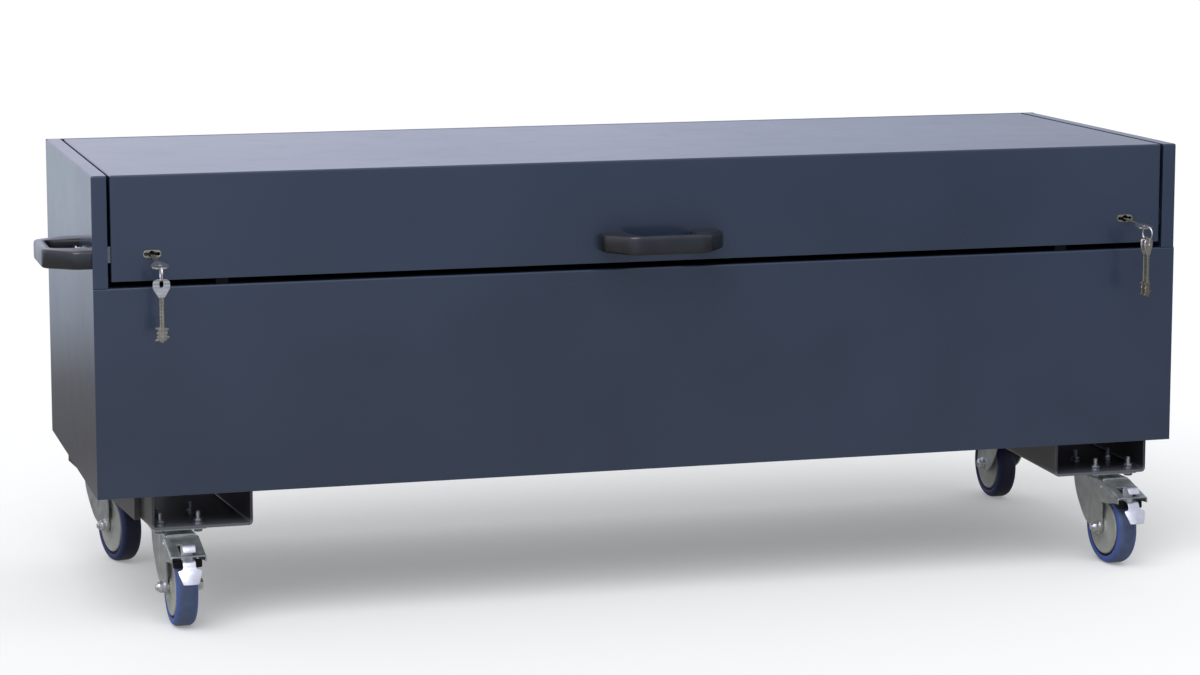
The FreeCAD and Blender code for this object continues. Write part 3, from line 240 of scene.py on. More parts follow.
def moulded_plastic(name, color, rough):
    """Fine-grained black nylon with a painted highlight along its ridges."""
    s = Shader(name)
    patches = s.noise(30.0, 4.0, 0.6)
    base = s.ramp(patches, 0.3, 0.75, shade(color, 0.8), shade(color, 1.5, 0.004))
    # Painted highlight: ridges and edges mixed towards grey
    base = s.mix(s.math("MULTIPLY", s.edges(0.0015, 0.25), 0.35), base, (0.12, 0.125, 0.135))
    grain = s.bump(s.noise(1500.0, 2.0, 0.6), 0.00003, s.rounded(0.0006))
    s.surface(color=base, rough=s.ramp(patches, 0.3, 0.7, rough - 0.05, rough + 0.07), normal=grain,
              ior=1.5, coat=0.6, coat_rough=0.2)
    return s.material


def zinc_plate(name, color, tint, rough):
    """Zinc-plated pressed steel: passivate blotched between two colours, drawn marks, painted highlights on
    its edges.
    """
    s = Shader(name)
    blotch = s.noise(55.0, 5.0, 0.62)
    streak = s.noise(1.0, 4.0, 0.6, stretch=(300.0, 300.0, 24.0))
    base = s.ramp(blotch, 0.35, 0.68, tint, color)
    # Painted highlight: edges mixed towards near-white
    base = s.mix(s.math("MULTIPLY", s.edges(0.0009), 0.7), base, (0.86, 0.86, 0.83))
    roughness = s.math("ADD", s.ramp(blotch, 0.3, 0.7, rough - 0.08, rough + 0.1),
                       s.math("MULTIPLY", streak, 0.06))
    normal = s.bump(streak, 0.00003, s.bump(blotch, 0.00004, s.rounded(0.0006)))
    s.surface(color=base, metal=0.92, rough=roughness, normal=normal)
    return s.material


def nickel_key(name):
    """Key brass, nickel-plated where the stored tone is one, with rubbed lines near the bow's end."""
    s = Shader(name)
    scratches = s.noise(1.0, 5.0, 0.7, stretch=(900.0, 900.0, 90.0))
    spots = s.noise(160.0, 4.0, 0.6)
    along = s.stored("along")
    brass = s.ramp(spots, 0.35, 0.7, (0.36, 0.33, 0.25), (0.56, 0.52, 0.42))
    plated = s.ramp(spots, 0.3, 0.7, (0.74, 0.72, 0.68), (0.90, 0.88, 0.85))
    lines = s.math("SINE", s.math("MULTIPLY", along, LINE_PHASE))
    marked = s.math("MULTIPLY", s.ramp(lines, 0.1, 0.8), s.ramp(along, LINES_FULL, LINES_END, 0.75, 0.0))
    plated = s.mix(marked, plated, (0.44, 0.37, 0.27))
    base = s.mix(s.stored("tone"), brass, plated)
    base = s.mix(s.math("MULTIPLY", s.edges(0.0005), 0.6), base, (0.88, 0.84, 0.72))
    normal = s.bump(lines, 0.00004, s.bump(scratches, 0.00002, s.rounded(0.0003)))
    s.surface(color=base, metal=1.0, rough=s.ramp(scratches, 0.3, 0.7, 0.2, 0.38), normal=normal)
    return s.material


def elastic_rubber(name, tread, wall, gloss=0.5):
    """Elastic rubber: the stored tone tells the side wall, at one, from the scuffed tread."""
    s = Shader(name)
    scuff = s.noise(60.0, 5.0, 0.65)
    tread_color = s.ramp(scuff, 0.3, 0.72, shade(tread, 0.75), shade(tread, 1.3, 0.002))
    wall_color = s.ramp(scuff, 0.3, 0.72, shade(wall, 0.85), shade(wall, 1.12))
    s.surface(color=s.mix(s.stored("tone"), tread_color, wall_color),
              rough=s.ramp(scuff, 0.3, 0.7, 0.42, 0.6),
              normal=s.bump(s.noise(700.0, 3.0, 0.6), 0.00006), ior=1.5, specular=gloss)
    return s.material


def grey_nylon(name, color):
    """Grey moulded nylon wheel centre with faint flow marks and a painted highlight along its edges."""
    s = Shader(name)
    base = s.ramp(s.noise(45.0, 4.0, 0.55), 0.3, 0.7, shade(color, 0.86), shade(color, 1.1))
    # Painted highlight: edges mixed lighter
    base = s.mix(s.math("MULTIPLY", s.edges(0.0008), 0.6), base, shade(color, 1.5))
    s.surface(color=base, rough=0.4, normal=s.bump(s.noise(900.0), 0.00003, s.rounded(0.0006)))
    return s.material


def black_lacquer(name):
    """Gloss lacquer of the gas struts' cylinders."""
    s = Shader(name)
    film = s.noise(80.0, 3.0)
    s.surface(color=s.ramp(film, 0.3, 0.7, (0.010, 0.010, 0.011), (0.022, 0.022, 0.024)),
              rough=s.ramp(film, 0.3, 0.7, 0.28, 0.36), normal=s.bump(film, 0.00003))
    return s.material


def ground_rod(name):
    """Ground steel of the gas struts' rods."""
    s = Shader(name)
    lines = s.noise(1.0, 3.0, 0.6, stretch=(40.0, 1500.0, 1500.0))
    s.surface(color=s.ramp(lines, 0.3, 0.7, (0.62, 0.62, 0.62), (0.8, 0.8, 0.8)), metal=1.0,
              rough=s.ramp(lines, 0.3, 0.7, 0.12, 0.22), normal=s.bump(lines, 0.00001))
    return s.material


MATERIALS = {
    "casing_paint": powder_coat("dark_powder_coat", (0.0205, 0.0335, 0.066)),
    "skid_paint": powder_coat("skid_powder_coat", (0.017, 0.0165, 0.022), rough=0.42, rim=0.003,
                              rim_wear_and_highlight_color=(0.12, 0.125, 0.15), lit_lip=True),
    "handle_plastic": moulded_plastic("black_nylon", (0.004, 0.0045, 0.0065), rough=0.3),
    "zinc_steel": zinc_plate("zinc_plate", (0.60, 0.63, 0.62), (0.45, 0.49, 0.48), rough=0.36),
    "key_metal": nickel_key("nickel_plate"),
    "tyre_rubber": elastic_rubber("blue_rubber", (0.056, 0.080, 0.165), (0.052, 0.105, 0.38)),
    "hub_plastic": grey_nylon("grey_nylon", (0.36, 0.375, 0.35)),
    "buffer_rubber": elastic_rubber("black_rubber", (0.004, 0.004, 0.0045), (0.005, 0.005, 0.0055),
                                    gloss=0.2),
    "strut_paint": black_lacquer("black_lacquer"),
    "rod_steel": ground_rod("ground_steel"),
}

# Finishes of single pieces that differ from their slot's: the rear tyres, darker as painted shade, the
# castor bolts and left deadbolt, the right deadbolt, darker as painted shade, the axle bolts and cover
# rivets, and the pedals
REAR_SHADE_RUBBER = elastic_rubber("blue_rubber_painted_shade", (0.008, 0.010, 0.030), (0.022, 0.038, 0.14), gloss=0.3)
DULL_STEEL = zinc_plate("dull_zinc", (0.30, 0.32, 0.34), (0.19, 0.21, 0.23), rough=0.42)
# Painted shade: the right deadbolt is the same bolt as the left, finished darker for the shade it sits in
SHADED_STEEL = zinc_plate("steel_painted_shade", (0.035, 0.037, 0.042), (0.02, 0.021, 0.025), rough=0.5)
BRIGHT_STEEL = zinc_plate("bright_zinc", (0.80, 0.81, 0.80), (0.62, 0.64, 0.66), rough=0.24)
PEDAL_STEEL = zinc_plate("pedal_zinc", (0.88, 0.88, 0.90), (0.74, 0.75, 0.78), rough=0.30)
NODE_FINISH = {"left_deadbolt": DULL_STEEL, "right_deadbolt": SHADED_STEEL}


def dress_nodes():
    """Gives each carried-over node the finish of its material slot, or its own."""
    slots = {row["node"]: row["material_slot"] for row in frame["record"]["subparts"]}
    for name, node in frame["nodes"].items():
        material = NODE_FINISH.get(name, MATERIALS[slots[name]])
        for slot in node.material_slots:
            slot.link = "DATA"
            slot.material = material


# Stage, light and camera

def build_stage():
    """A level floor that is pale to the eye."""
    mesh = bpy.data.meshes.new("floor")
    corners = [(-1, -1), (1, -1), (1, 1), (-1, 1)]
    mesh.from_pydata([(x * FLOOR_REACH, y * FLOOR_REACH, 0) for x, y in corners], [], [(0, 1, 2, 3)])
    floor = bpy.data.objects.new("floor", mesh)
    bpy.context.collection.objects.link(floor)
    mesh.materials.append(floor_finish())


def build_surroundings():
    """White seen directly, even as a light, and darker and greyer towards +X where mirrored."""
    world = bpy.data.worlds.new("surroundings")
    bpy.context.scene.world = world
    world.use_nodes = True
    s = Nodes(world.node_tree)
    direction = s.add("ShaderNodeTexCoord").outputs["Generated"]
    mirrored = s.color_row(s.add("ShaderNodeSeparateXYZ", {0: direction}).outputs["X"], MIRRORED_SKY)
    path = s.add("ShaderNodeLightPath").outputs
    daylight = tuple(DAYLIGHT * share for share in DAYLIGHT_TINT)
    shown = s.mix(path["Is Glossy Ray"], daylight, mirrored)
    straight = s.math("MAXIMUM", path["Is Camera Ray"], path["Is Transmission Ray"])
    s.set(s.tree.nodes["Background"].inputs["Color"], s.mix(straight, shown, WHITE))


def floor_finish():
    """Matt pale floor, glowing where the camera sees it. Mirrored, a painted reflection, dimmest 1 to 2 m
    behind as painted shade.
    """
    s = Shader("pale_floor")
    s.surface(color=FLOOR_COLOR, rough=0.9, specular=0.0)
    matt = s.principled.outputs[0]
    glow = s.add("ShaderNodeEmission", {"Color": WHITE, "Strength": FLOOR_GLOW}).outputs[0]
    seen = s.add("ShaderNodeAddShader", {0: matt, 1: glow}).outputs[0]
    position = s.add("ShaderNodeNewGeometry").outputs["Position"]
    place = s.add("ShaderNodeSeparateXYZ", {0: position}).outputs
    across = s.ramp(place["Y"], -MIRRORED_FLOOR_REACH, MIRRORED_FLOOR_REACH)
    fade = s.ramp(place["X"], *MIRRORED_FLOOR_FADE)
    values = {"Color": s.color_row(across, MIRRORED_FLOOR), "Strength": fade}
    mirrored = s.add("ShaderNodeEmission", values).outputs[0]
    path = s.add("ShaderNodeLightPath").outputs
    by_eye = s.add("ShaderNodeMixShader", {0: path["Is Camera Ray"], 1: matt, 2: seen}).outputs[0]
    final = s.add("ShaderNodeMixShader", {0: path["Is Glossy Ray"], 1: by_eye, 2: mirrored}).outputs[0]
    s.set(s.tree.nodes["Material Output"].inputs["Surface"], final)
    return s.material


def build_lights():
    """One wide soft lamp high on the front left."""
    lamp = bpy.data.lights.new("soft_sun", "SUN")
    lamp.energy = SUN
    lamp.angle = SUN_WIDTH
    light = bpy.data.objects.new("soft_sun", lamp)
    bpy.context.collection.objects.link(light)
    light.location = (-2, -4, 6)
    light.rotation_euler = SUN_DIRECTION.to_track_quat("-Z", "Y").to_euler()


def build_camera():
    data = bpy.data.cameras.new("camera")
    camera = bpy.data.objects.new("camera", data)
    bpy.context.collection.objects.link(camera)
    data.sensor_width = SENSOR_WIDTH
    data.lens = FOCAL_PIXELS / PHOTO_WIDTH * SENSOR_WIDTH
    data.shift_y = (PRINCIPAL_Y - PHOTO_HEIGHT / 2) / PHOTO_WIDTH
    data.clip_start = 0.05
    data.clip_end = 200.0
    camera.location = CAMERA_FROM_CORNER + Vector((LEFT, FRONT, 0))
    camera.rotation_euler = CAMERA_FORWARD.to_track_quat("-Z", "Y").to_euler()
    bpy.context.scene.camera = camera


# Mesh helpers

SOFT_EDGE = 0.0006


def mesh_piece(name, verts, faces, slot_name, body, replaces=(), material=None):
    """Makes a smooth-shaded mesh piece, rides it on a body and gives it a slot's finish, or its own."""
    mesh = bpy.data.meshes.new(name)
    mesh.from_pydata([tuple(v) for v in verts], [], faces)
    mesh.validate()
    piece = bpy.data.objects.new(name, mesh)
    bpy.context.collection.objects.link(piece)
    mesh.materials.append(material or MATERIALS[slot_name])
    outward = bmesh.new()
    outward.from_mesh(mesh)
    bmesh.ops.recalc_face_normals(outward, faces=outward.faces)
    outward.to_mesh(mesh)
    outward.free()
    for polygon in mesh.polygons:
        polygon.use_smooth = True
    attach(piece, body)
    if replaces:
        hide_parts(*replaces)
    return piece


def smooth_by_angle(piece, degrees):
    piece.data.set_sharp_from_angle(angle=math.radians(degrees))


def store(piece, name, values):
    """Stores one number on each point, for the finish to read."""
    stored = piece.data.attributes.new(name, "FLOAT", "POINT")
    stored.data.foreach_set("value", values)


def finish_piece(piece, thickness=0.0, edge=SOFT_EDGE):
    """Adds thickness, if any, and rounded edges, in metres."""
    if thickness:
        solid = piece.modifiers.new("thickness", "SOLIDIFY")
        solid.thickness = thickness
        solid.offset = 0.0
        solid.use_even_offset = True
    bevel = piece.modifiers.new("soft_edges", "BEVEL")
    bevel.width = edge
    bevel.segments = 2
    bevel.limit_method = "ANGLE"
    bevel.angle_limit = math.radians(32)
    bevel.harden_normals = True


def sheet_piece(name, rows, body, thickness, place, replaces, left_out=(), edge=SOFT_EDGE, material=None):
    """A zinc sheet through rows of points, in millimetres. left_out lists (row, column) cells left open."""
    across = len(rows[0])
    verts = [place(point) for row in rows for point in row]
    faces = [(r * across + c, r * across + c + 1, (r + 1) * across + c + 1, (r + 1) * across + c)
             for r in range(len(rows) - 1) for c in range(across - 1) if (r, c) not in left_out]
    piece = mesh_piece(name, verts, faces, "zinc_steel", body, replaces, material)
    finish_piece(piece, thickness / 1000, edge)


def ring_faces(rings, around, closed=True):
    """Faces joining rings of the same number of points, with end caps if the row is open."""
    faces = []
    for ring in range(rings if closed else rings - 1):
        following = (ring + 1) % rings
        for step in range(around):
            after = (step + 1) % around
            faces.append((ring * around + step, ring * around + after,
                          following * around + after, following * around + step))
    if not closed:
        faces.append(tuple(range(around))[::-1])
        faces.append(tuple((rings - 1) * around + step for step in range(around)))
    return faces


def lofted(rings):
    """Points and faces of a capped body through rings of equal length."""
    return [point for ring in rings for point in ring], ring_faces(len(rings), len(rings[0]), closed=False)


def join_shapes(shapes):
    """Several (points, faces) shapes as one."""
    verts, faces = [], []
    for points, own in shapes:
        start = len(verts)
        verts += points
        faces += [tuple(start + index for index in face) for face in own]
    return verts, faces


def soft_path(corners, radii, arc_steps=8):
    """An open path of straight runs with arcs at its corners."""
    points = [corners[0]]
    for number in range(1, len(corners) - 1):
        here = Vector(corners[number])
        before = (Vector(corners[number - 1]) - here).normalized()
        after = (Vector(corners[number + 1]) - here).normalized()
        half_angle = before.angle(after) / 2
        reach = radii[number] / math.tan(half_angle)
        centre = here + (before + after).normalized() * (radii[number] / math.sin(half_angle))
        start = here + before * reach - centre
        end = here + after * reach - centre
        turn = start.angle_signed(end)
        for step in range(arc_steps + 1):
            angle = -turn * step / arc_steps
            rotated = Vector((start.x * math.cos(angle) - start.y * math.sin(angle),
                              start.x * math.sin(angle) + start.y * math.cos(angle)))
            points.append(tuple(centre + rotated))
    points.append(corners[-1])
    return points


def even(points, count):
    """A path resampled to a number of evenly spaced points."""
    lengths = [0.0]
    for number in range(1, len(points)):
        lengths.append(lengths[-1] + (Vector(points[number]) - Vector(points[number - 1])).length)
    result = []
    for step in range(count):
        target = lengths[-1] * step / (count - 1)
        number = 1
        while number < len(points) - 1 and lengths[number] < target:
            number += 1
        span = lengths[number] - lengths[number - 1]
        share = (target - lengths[number - 1]) / span if span > 0 else 0.0
        result.append(Vector(points[number - 1]).lerp(Vector(points[number]), share))
    return result


def middle(node):
    """The middle of a node's box, in metres."""
    low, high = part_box(node)
    return (low + high) / 2


# Turned parts and fasteners, as rings of (x, y, z) tuples in millimetres about their own axis

FINE, COARSE = 32, 20
HEXAGON_STEPS = 24
HEXAGON_FACE = 0.96
HEXAGON_CHAMFER = 0.16
THREAD_PITCH = 1.25
THREAD_ROOT = 0.87
THREAD_TIP = 0.72


def ring_about(along, radius_at, steps, axis_x, turn=0.0):
    """One ring about X or Z at a place along it, with the radius that a function gives for an angle."""
    points = []
    for step in range(steps):
        angle = 2 * math.pi * step / steps + turn
        radius = radius_at(angle)
        a, b = radius * math.cos(angle), radius * math.sin(angle)
        points.append((along, a, b) if axis_x else (a, b, along))
    return points


def rod_rings(profile, steps, axis_x):
    """Rings of a stepped rod through (place, radius) pairs."""
    return [ring_about(along, lambda angle: radius, steps, axis_x) for along, radius in profile]


def hexagon_rings(low, high, width, axis_x, turn=0.0):
    """Rings of a hexagon nut or head with rounded-off corners at both faces."""
    inner = width / 2
    outer = inner / math.cos(math.pi / 6)
    face = inner * HEXAGON_FACE
    run = (high - low) * HEXAGON_CHAMFER
    rings = []
    for along, limit in ((low, face), (low + run, outer), (high - run, outer), (high, face)):
        def radius_at(angle):
            within = (angle - turn + math.pi / 6) % (math.pi / 3) - math.pi / 6
            return min(inner / math.cos(within), limit)
        rings.append(ring_about(along, radius_at, HEXAGON_STEPS, axis_x, turn))
    return rings


def thread_rings(low, high, radius, axis_x):
    """Rings of a threaded shank, drawn as even grooves, with a chamfered end at the high side."""
    profile = [(low, radius)]
    along = low
    rise = math.copysign(THREAD_PITCH, high - low)
    while abs(high - along) > 1.5 * THREAD_PITCH:
        profile += [(along + rise * 0.5, radius * THREAD_ROOT), (along + rise, radius)]
        along += rise
    profile += [(high - rise * 0.6, radius), (high, radius * THREAD_TIP)]
    return rod_rings(profile, COARSE, axis_x)


def stepped(profile, side, steps):
    """A stepped rod along X as its profile says, or mirrored where side is -1."""
    return lofted(rod_rings([(side * along, radius) for along, radius in profile], steps, True))


# Handles, in metres: X along the handle, -Y away from the sheet that it stands on, Z across

HANDLE_HALF = 0.101
HANDLE_SHOULDER = 0.025
HANDLE_REACH = 0.071
GRIP_HALF = 0.063
FOOT_HALF_OPENING = 0.052
GRIP_HALF_OPENING = 0.048
OPENING_DEPTH = 0.055
HANDLE_ARCS = (0, 0.018, 0.024, 0.024, 0.018, 0)
OPENING_ARCS = (0, 0.012, 0.012, 0)
HANDLE_HALF_HEIGHT = 0.015
HANDLE_SQUARENESS = 0.34
HANDLE_RINGS = 72
HANDLE_RING_POINTS = 28


def build_handle(name, body, node, to_world):
    """A moulded D handle: rings of a soft rectangle swept from one foot round to the other."""
    outer = soft_path([(-HANDLE_HALF, 0), (-HANDLE_HALF, -HANDLE_SHOULDER), (-GRIP_HALF, -HANDLE_REACH),
                       (GRIP_HALF, -HANDLE_REACH), (HANDLE_HALF, -HANDLE_SHOULDER), (HANDLE_HALF, 0)],
                      HANDLE_ARCS)
    inner = soft_path([(-FOOT_HALF_OPENING, 0), (-GRIP_HALF_OPENING, -OPENING_DEPTH),
                       (GRIP_HALF_OPENING, -OPENING_DEPTH), (FOOT_HALF_OPENING, 0)], OPENING_ARCS)
    verts = []
    for far, near in zip(even(outer, HANDLE_RINGS), even(inner, HANDLE_RINGS)):
        centre = (near + far) / 2
        across = (far - near) / 2
        for step in range(HANDLE_RING_POINTS):
            angle = 2 * math.pi * step / HANDLE_RING_POINTS
            c, d = math.cos(angle), math.sin(angle)
            u = math.copysign(abs(c) ** HANDLE_SQUARENESS, c)
            w = math.copysign(abs(d) ** HANDLE_SQUARENESS, d)
            spread = centre + across * u
            verts.append(to_world(Vector((spread.x, spread.y, HANDLE_HALF_HEIGHT * w))))
    faces = ring_faces(HANDLE_RINGS, HANDLE_RING_POINTS, closed=False)
    piece = mesh_piece(name, verts, faces, "handle_plastic", body, (node,))
    smooth_by_angle(piece, 50)


def build_handles():
    at = middle("lid_handle")
    build_handle("lid_grab_handle", "lid", "lid_handle",
                 lambda v: Vector((at.x + v.x, FRONT + v.y, at.z + v.z)))
    for side, node in ((-1, "left_side_handle"), (1, "right_side_handle")):
        at = middle(node)
        build_handle(node.replace("side_handle", "grab_handle"), "root", node,
                     lambda v: Vector((side * (-LEFT - v.y), at.y + side * v.x, at.z + v.z)))


# Castors, drawn in millimetres about a kingpin on the Z axis with the wheel towards -Y

AXLE_Y, AXLE_Z = -40.0, 62.5

# Fork: where its flat legs crease into wings that spread towards the back, and its lower edge as (y, z)
FORK_SHEET = 3.0
FORK_BEND = 5.0
FORK_TOP = 145.0
LEG_HALF = 24.0
CREASE_Y = -4.4
WING_HALF = 25.3
WING_SPREAD = 0.075
FORK_TOP_X = (-14, -7, 0, 7, 14)
FORK_EDGE = [(-51.5, 61), (-50.5, 55.5), (-47, 51.5), (-41, 49.6), (-33, 49.4), (-24, 51), (-15, 54.5),
             (-8, 58.5), (-5.2, 61), (-3.6, 62.3), (3, 66.5), (10, 73), (18, 83), (26, 94.5), (33, 106),
             (38, 118), (41, 129), (42, 136)]

# Brake cover: its feet as (y, drop below the top), and the sheet's cells that its window leaves out
COVER_SHEET = 2.5
COVER_BEND = 3.0
COVER_HALF = 26.8
COVER_TOP = 145.2
COVER_FALL = 22.0 / 72.0
COVER_TOP_X = (-11.5, -6, 0, 6, 11.5)
COVER_FEET = [(-50, 34), (-58, 32), (-66, 29), (-76, 25), (-84, 21), (-90, 17.5), (-97, 14), (-103, 11.5),
              (-107, 10), (-112, 8.5)]
WINDOW = [(row, column) for row in range(3, 8) for column in range(8, 12)]
RIVET_Y, RIVET_Z = -52.0, 133.0
RIVET = [(27.4, 3.3), (28.6, 3.1), (29.4, 2.0), (29.8, 0.6)]

# Pedal: its path as (y, z, half width) from the curled tab down the neck to the flared foot
PEDAL_SHEET = 2.6
PEDAL_EDGE = 0.0009
PEDAL_PATH = [(-117.6, 131.0, 9.4), (-116.4, 134.6, 9.8), (-113.6, 138.0, 10), (-109.4, 140.4, 10),
              (-104.4, 141.0, 10), (-99.6, 139.4, 10), (-96.2, 135.6, 9.8), (-94.8, 130.6, 9.4),
              (-94.4, 125.4, 9.2), (-95.2, 120.8, 9.2), (-98.4, 117.6, 9.4), (-103.4, 116.6, 9.8),
              (-108.8, 116.4, 10), (-113.0, 115.0, 10), (-115.6, 112.0, 10), (-117.0, 108.6, 10),
              (-118.2, 106.2, 10.6), (-119.6, 104.6, 12.6), (-121.0, 103.4, 16.6), (-122.0, 102.4, 18.2),
              (-124.8, 98.2, 17.4), (-127.6, 93.2, 15.6), (-130.0, 87.6, 13.6), (-131.6, 83.4, 12.0)]
PEDAL_SHARES = (-1, -0.82, -0.45, 0, 0.45, 0.82, 1)
FOOT_TOP = 104.0
FOOT_CURL = 2.2
TAB_CURL = 0.4

# Shoe bar: its place, its rows as (x, size), and its outline in shares of the size
SHOE_Y, SHOE_Z = -99.0, 111.0
SHOE_ROWS = ((-22.5, 4.6), (-21.0, 6.0), (21.0, 6.0), (22.5, 4.6))
SHOE_OUTLINE = [(-1.0, -1.1), (0.1, -1.1), (0.8, -0.5), (0.8, 0.8), (-0.8, 1.0)]
SHOE_EDGE = 0.0008

# Axle bolt: (place along X, radius) of its turned steps, and its nut or head on each side
BUSH = [(-22.4, 7.4), (22.4, 7.4)]
AXLE_WASHER = [(25.5, 10.5), (27.0, 10.5), (27.4, 10.0)]
AXLE_COLLAR = [(34.2, 7.4), (36.6, 6.6), (37.0, 6.0)]
AXLE_DOME = [(34.0, 6.4), (34.8, 5.2), (35.1, 1.0)]
AXLE_NUT_INNER, AXLE_NUT_OUTER = 27.2, 34.2
AXLE_NUT_WIDTH = 16.5
AXLE_THREAD_INNER, AXLE_THREAD_OUTER = 36.8, 39.8
AXLE_RADIUS = 5.0

# Wheel: half profiles as (radius, along X), and the tyre's tones, one on the wall and nought on the tread
DISC = [(7.6, -19.0), (12.6, -19.0), (14.0, -18.2), (14.6, -16.6), (17.0, -15.6), (26.0, -15.0),
        (36.0, -15.2), (40.5, -15.9), (42.6, -16.8), (44.2, -17.0), (45.6, -16.4), (46.2, -14.6),
        (46.4, -9.0)]
# The seat ring is finished in black rubber as painted shade in the recess between the disc and the tyre
SEAT = [(45.9, -13.6), (46.6, -14.6), (50.2, -14.9), (51.0, -14.0)]
TYRE = [(50.4, -13.6), (50.6, -15.2), (51.4, -16.2), (52.6, -16.9), (54.4, -17.1), (56.6, -16.8),
        (58.4, -16.0), (60.0, -14.6), (61.2, -12.8), (62.0, -10.8), (62.5, -8.4), (62.5, -4.0)]
TYRE_TONES = [1.0, 1.0, 1.0, 1.0, 1.0, 0.95, 0.7, 0.42, 0.2, 0.06, 0.0, 0.0]

# Castor bolts: places about the kingpin, (height, radius) of the turned steps, and the other heights
BOLT_X, BOLT_Y = 30, 40
BOLT_RADIUS = 3.9
BOLT_WIDTH = 13.0
HEAD_LOW, HEAD_HIGH = 147.7, 153.0
SHANK = [(153.0, BOLT_RADIUS), (160.0, BOLT_RADIUS)]
WASHER = [(160.0, 8.0), (161.3, 8.0), (161.6, 7.6)]
NUT_LOW, NUT_HIGH = 161.6, 168.1
THREAD_LOW, THREAD_HIGH = 168.0, 180.0


def castor_place(name):
    """A function from a castor's own millimetres to the row frame, taken from its two joints."""
    kingpin = Vector(JOINTS[name + "_swivel_turn"]["pos_m"])
    wheel = Vector(JOINTS[name + "_wheel_spin"]["pos_m"])
    forward = Vector((wheel.x - kingpin.x, wheel.y - kingpin.y, 0)).normalized()
    across = Vector((-forward.y, forward.x, 0))

    def place(point):
        x, y, z = point
        foot = Vector((kingpin.x, kingpin.y, 0))
        return foot + (across * x - forward * y) / 1000 + Vector((0, 0, z / 1000))
    return place


def section_row(half, low, high, y, bend, tops):
    """A channel's section at one place along Y, from the left foot over the top to the right foot."""
    left_side = [(-half, y, low + (high - bend - low) * share) for share in (0.0, 0.35, 0.7, 1.0)]
    corner_steps = 4
    for step in range(1, corner_steps + 1):
        angle = math.pi / 2 * step / corner_steps
        left_side.append((-half + bend * (1 - math.cos(angle)), y, high - bend + bend * math.sin(angle)))
    top = [(x, y, high) for x in tops]
    return left_side + top + [(-x, along, z) for x, along, z in left_side[::-1]]


def build_fork(name, place):
    """Swivel fork: legs with a flat front band, a crease and wings that spread towards the back."""
    rows = []
    for y, low in FORK_EDGE:
        half = LEG_HALF if y < CREASE_Y else WING_HALF + y * WING_SPREAD
        rows.append(section_row(half, low, FORK_TOP, y, FORK_BEND, FORK_TOP_X))
    sheet_piece(name + "_fork_shell", rows, name + "_swivel", FORK_SHEET, place, (name + "_fork",))


def build_cover(name, place):
    """Brake cover with a window."""
    rows = []
    for y, drop in COVER_FEET:
        high = COVER_TOP + (y - AXLE_Y) * COVER_FALL
        rows.append(section_row(COVER_HALF, high - drop, high, y, COVER_BEND, COVER_TOP_X))
    sheet_piece(name + "_brake_housing", rows, name + "_swivel", COVER_SHEET, place,
                (name + "_brake_cover",), left_out=WINDOW)


def build_pedal(name, place):
    """Pedal bent from one strip: a curled tab through the window, a neck and a flared foot."""
    rows = []
    for y, z, half in PEDAL_PATH:
        curl = FOOT_CURL if z < FOOT_TOP else TAB_CURL
        rows.append([(half * share, y + curl * share * share, z) for share in PEDAL_SHARES])
    sheet_piece(name + "_pedal_strip", rows, name + "_pedal", PEDAL_SHEET, place, (name + "_brake_pedal",),
                edge=PEDAL_EDGE, material=PEDAL_STEEL)


def build_shoe(name, place):
    """Dark shoe bar across the pedal, chamfered towards the tyre."""
    rings = []
    for x, size in SHOE_ROWS:
        rings.append([place((x, SHOE_Y + size * y, SHOE_Z + size * z)) for y, z in SHOE_OUTLINE])
    piece = mesh_piece(name + "_shoe_bar", *lofted(rings), "buffer_rubber", name + "_pedal")
    finish_piece(piece, edge=SHOE_EDGE)


def build_rivets(name, place):
    """A domed rivet on each side of the brake cover."""
    verts, faces = join_shapes([stepped(RIVET, side, COARSE) for side in (-1, 1)])
    verts = [place((x, y + RIVET_Y, z + RIVET_Z)) for x, y, z in verts]
    piece = mesh_piece(name + "_cover_rivets", verts, faces, "zinc_steel", name + "_swivel",
                       material=BRIGHT_STEEL)
    smooth_by_angle(piece, 40)


def build_axle(name, place):
    """Axle bolt: a washer on each side, a rounded head at +X, and a lock nut and threaded end at -X."""
    shapes = [stepped(BUSH, 1, FINE), stepped(AXLE_COLLAR, -1, FINE), stepped(AXLE_DOME, 1, FINE),
              lofted(thread_rings(-AXLE_THREAD_INNER, -AXLE_THREAD_OUTER, AXLE_RADIUS, True))]
    for side in (-1, 1):
        nut = hexagon_rings(side * AXLE_NUT_INNER, side * AXLE_NUT_OUTER, AXLE_NUT_WIDTH, True)
        shapes += [stepped(AXLE_WASHER, side, FINE), lofted(nut)]
    verts, faces = join_shapes(shapes)
    verts = [place((x, y + AXLE_Y, z + AXLE_Z)) for x, y, z in verts]
    piece = mesh_piece(name + "_axle_bolt", verts, faces, "zinc_steel", name + "_swivel", (name + "_axle",),
                       BRIGHT_STEEL)
    smooth_by_angle(piece, 30)


def turned_piece(name, half, place, body, slot_name, steps=112, replaces=(), tones=(), angle=30,
                 material=None):
    """A half profile and its mirror image turned about the axle, with a tone for each of its points."""
    profile = half + [(radius, -along) for radius, along in half[::-1]]
    verts = []
    for step in range(steps):
        turn = 2 * math.pi * step / steps
        for radius, along in profile:
            verts.append(place((along, AXLE_Y + radius * math.cos(turn), AXLE_Z + radius * math.sin(turn))))
    piece = mesh_piece(name, verts, ring_faces(steps, len(profile)), slot_name, body, replaces, material)
    if tones:
        store(piece, "tone", (tones + tones[::-1]) * steps)
    smooth_by_angle(piece, angle)


def build_wheel(name, place, rubber):
    """Wheel centre: shallow dished disc, raised bead, black seat ring as painted shade, rounded tyre."""
    body = name + "_wheel"
    turned_piece(name + "_wheel_disc", DISC, place, body, "hub_plastic", replaces=(name + "_wheel_centre",))
    # Black seat ring: painted shade in the recess
    turned_piece(name + "_tyre_seat", SEAT, place, body, "buffer_rubber")
    turned_piece(name + "_tyre_ring", TYRE, place, body, "tyre_rubber", steps=128,
                 replaces=(name + "_tyre",), tones=TYRE_TONES, angle=40, material=rubber)


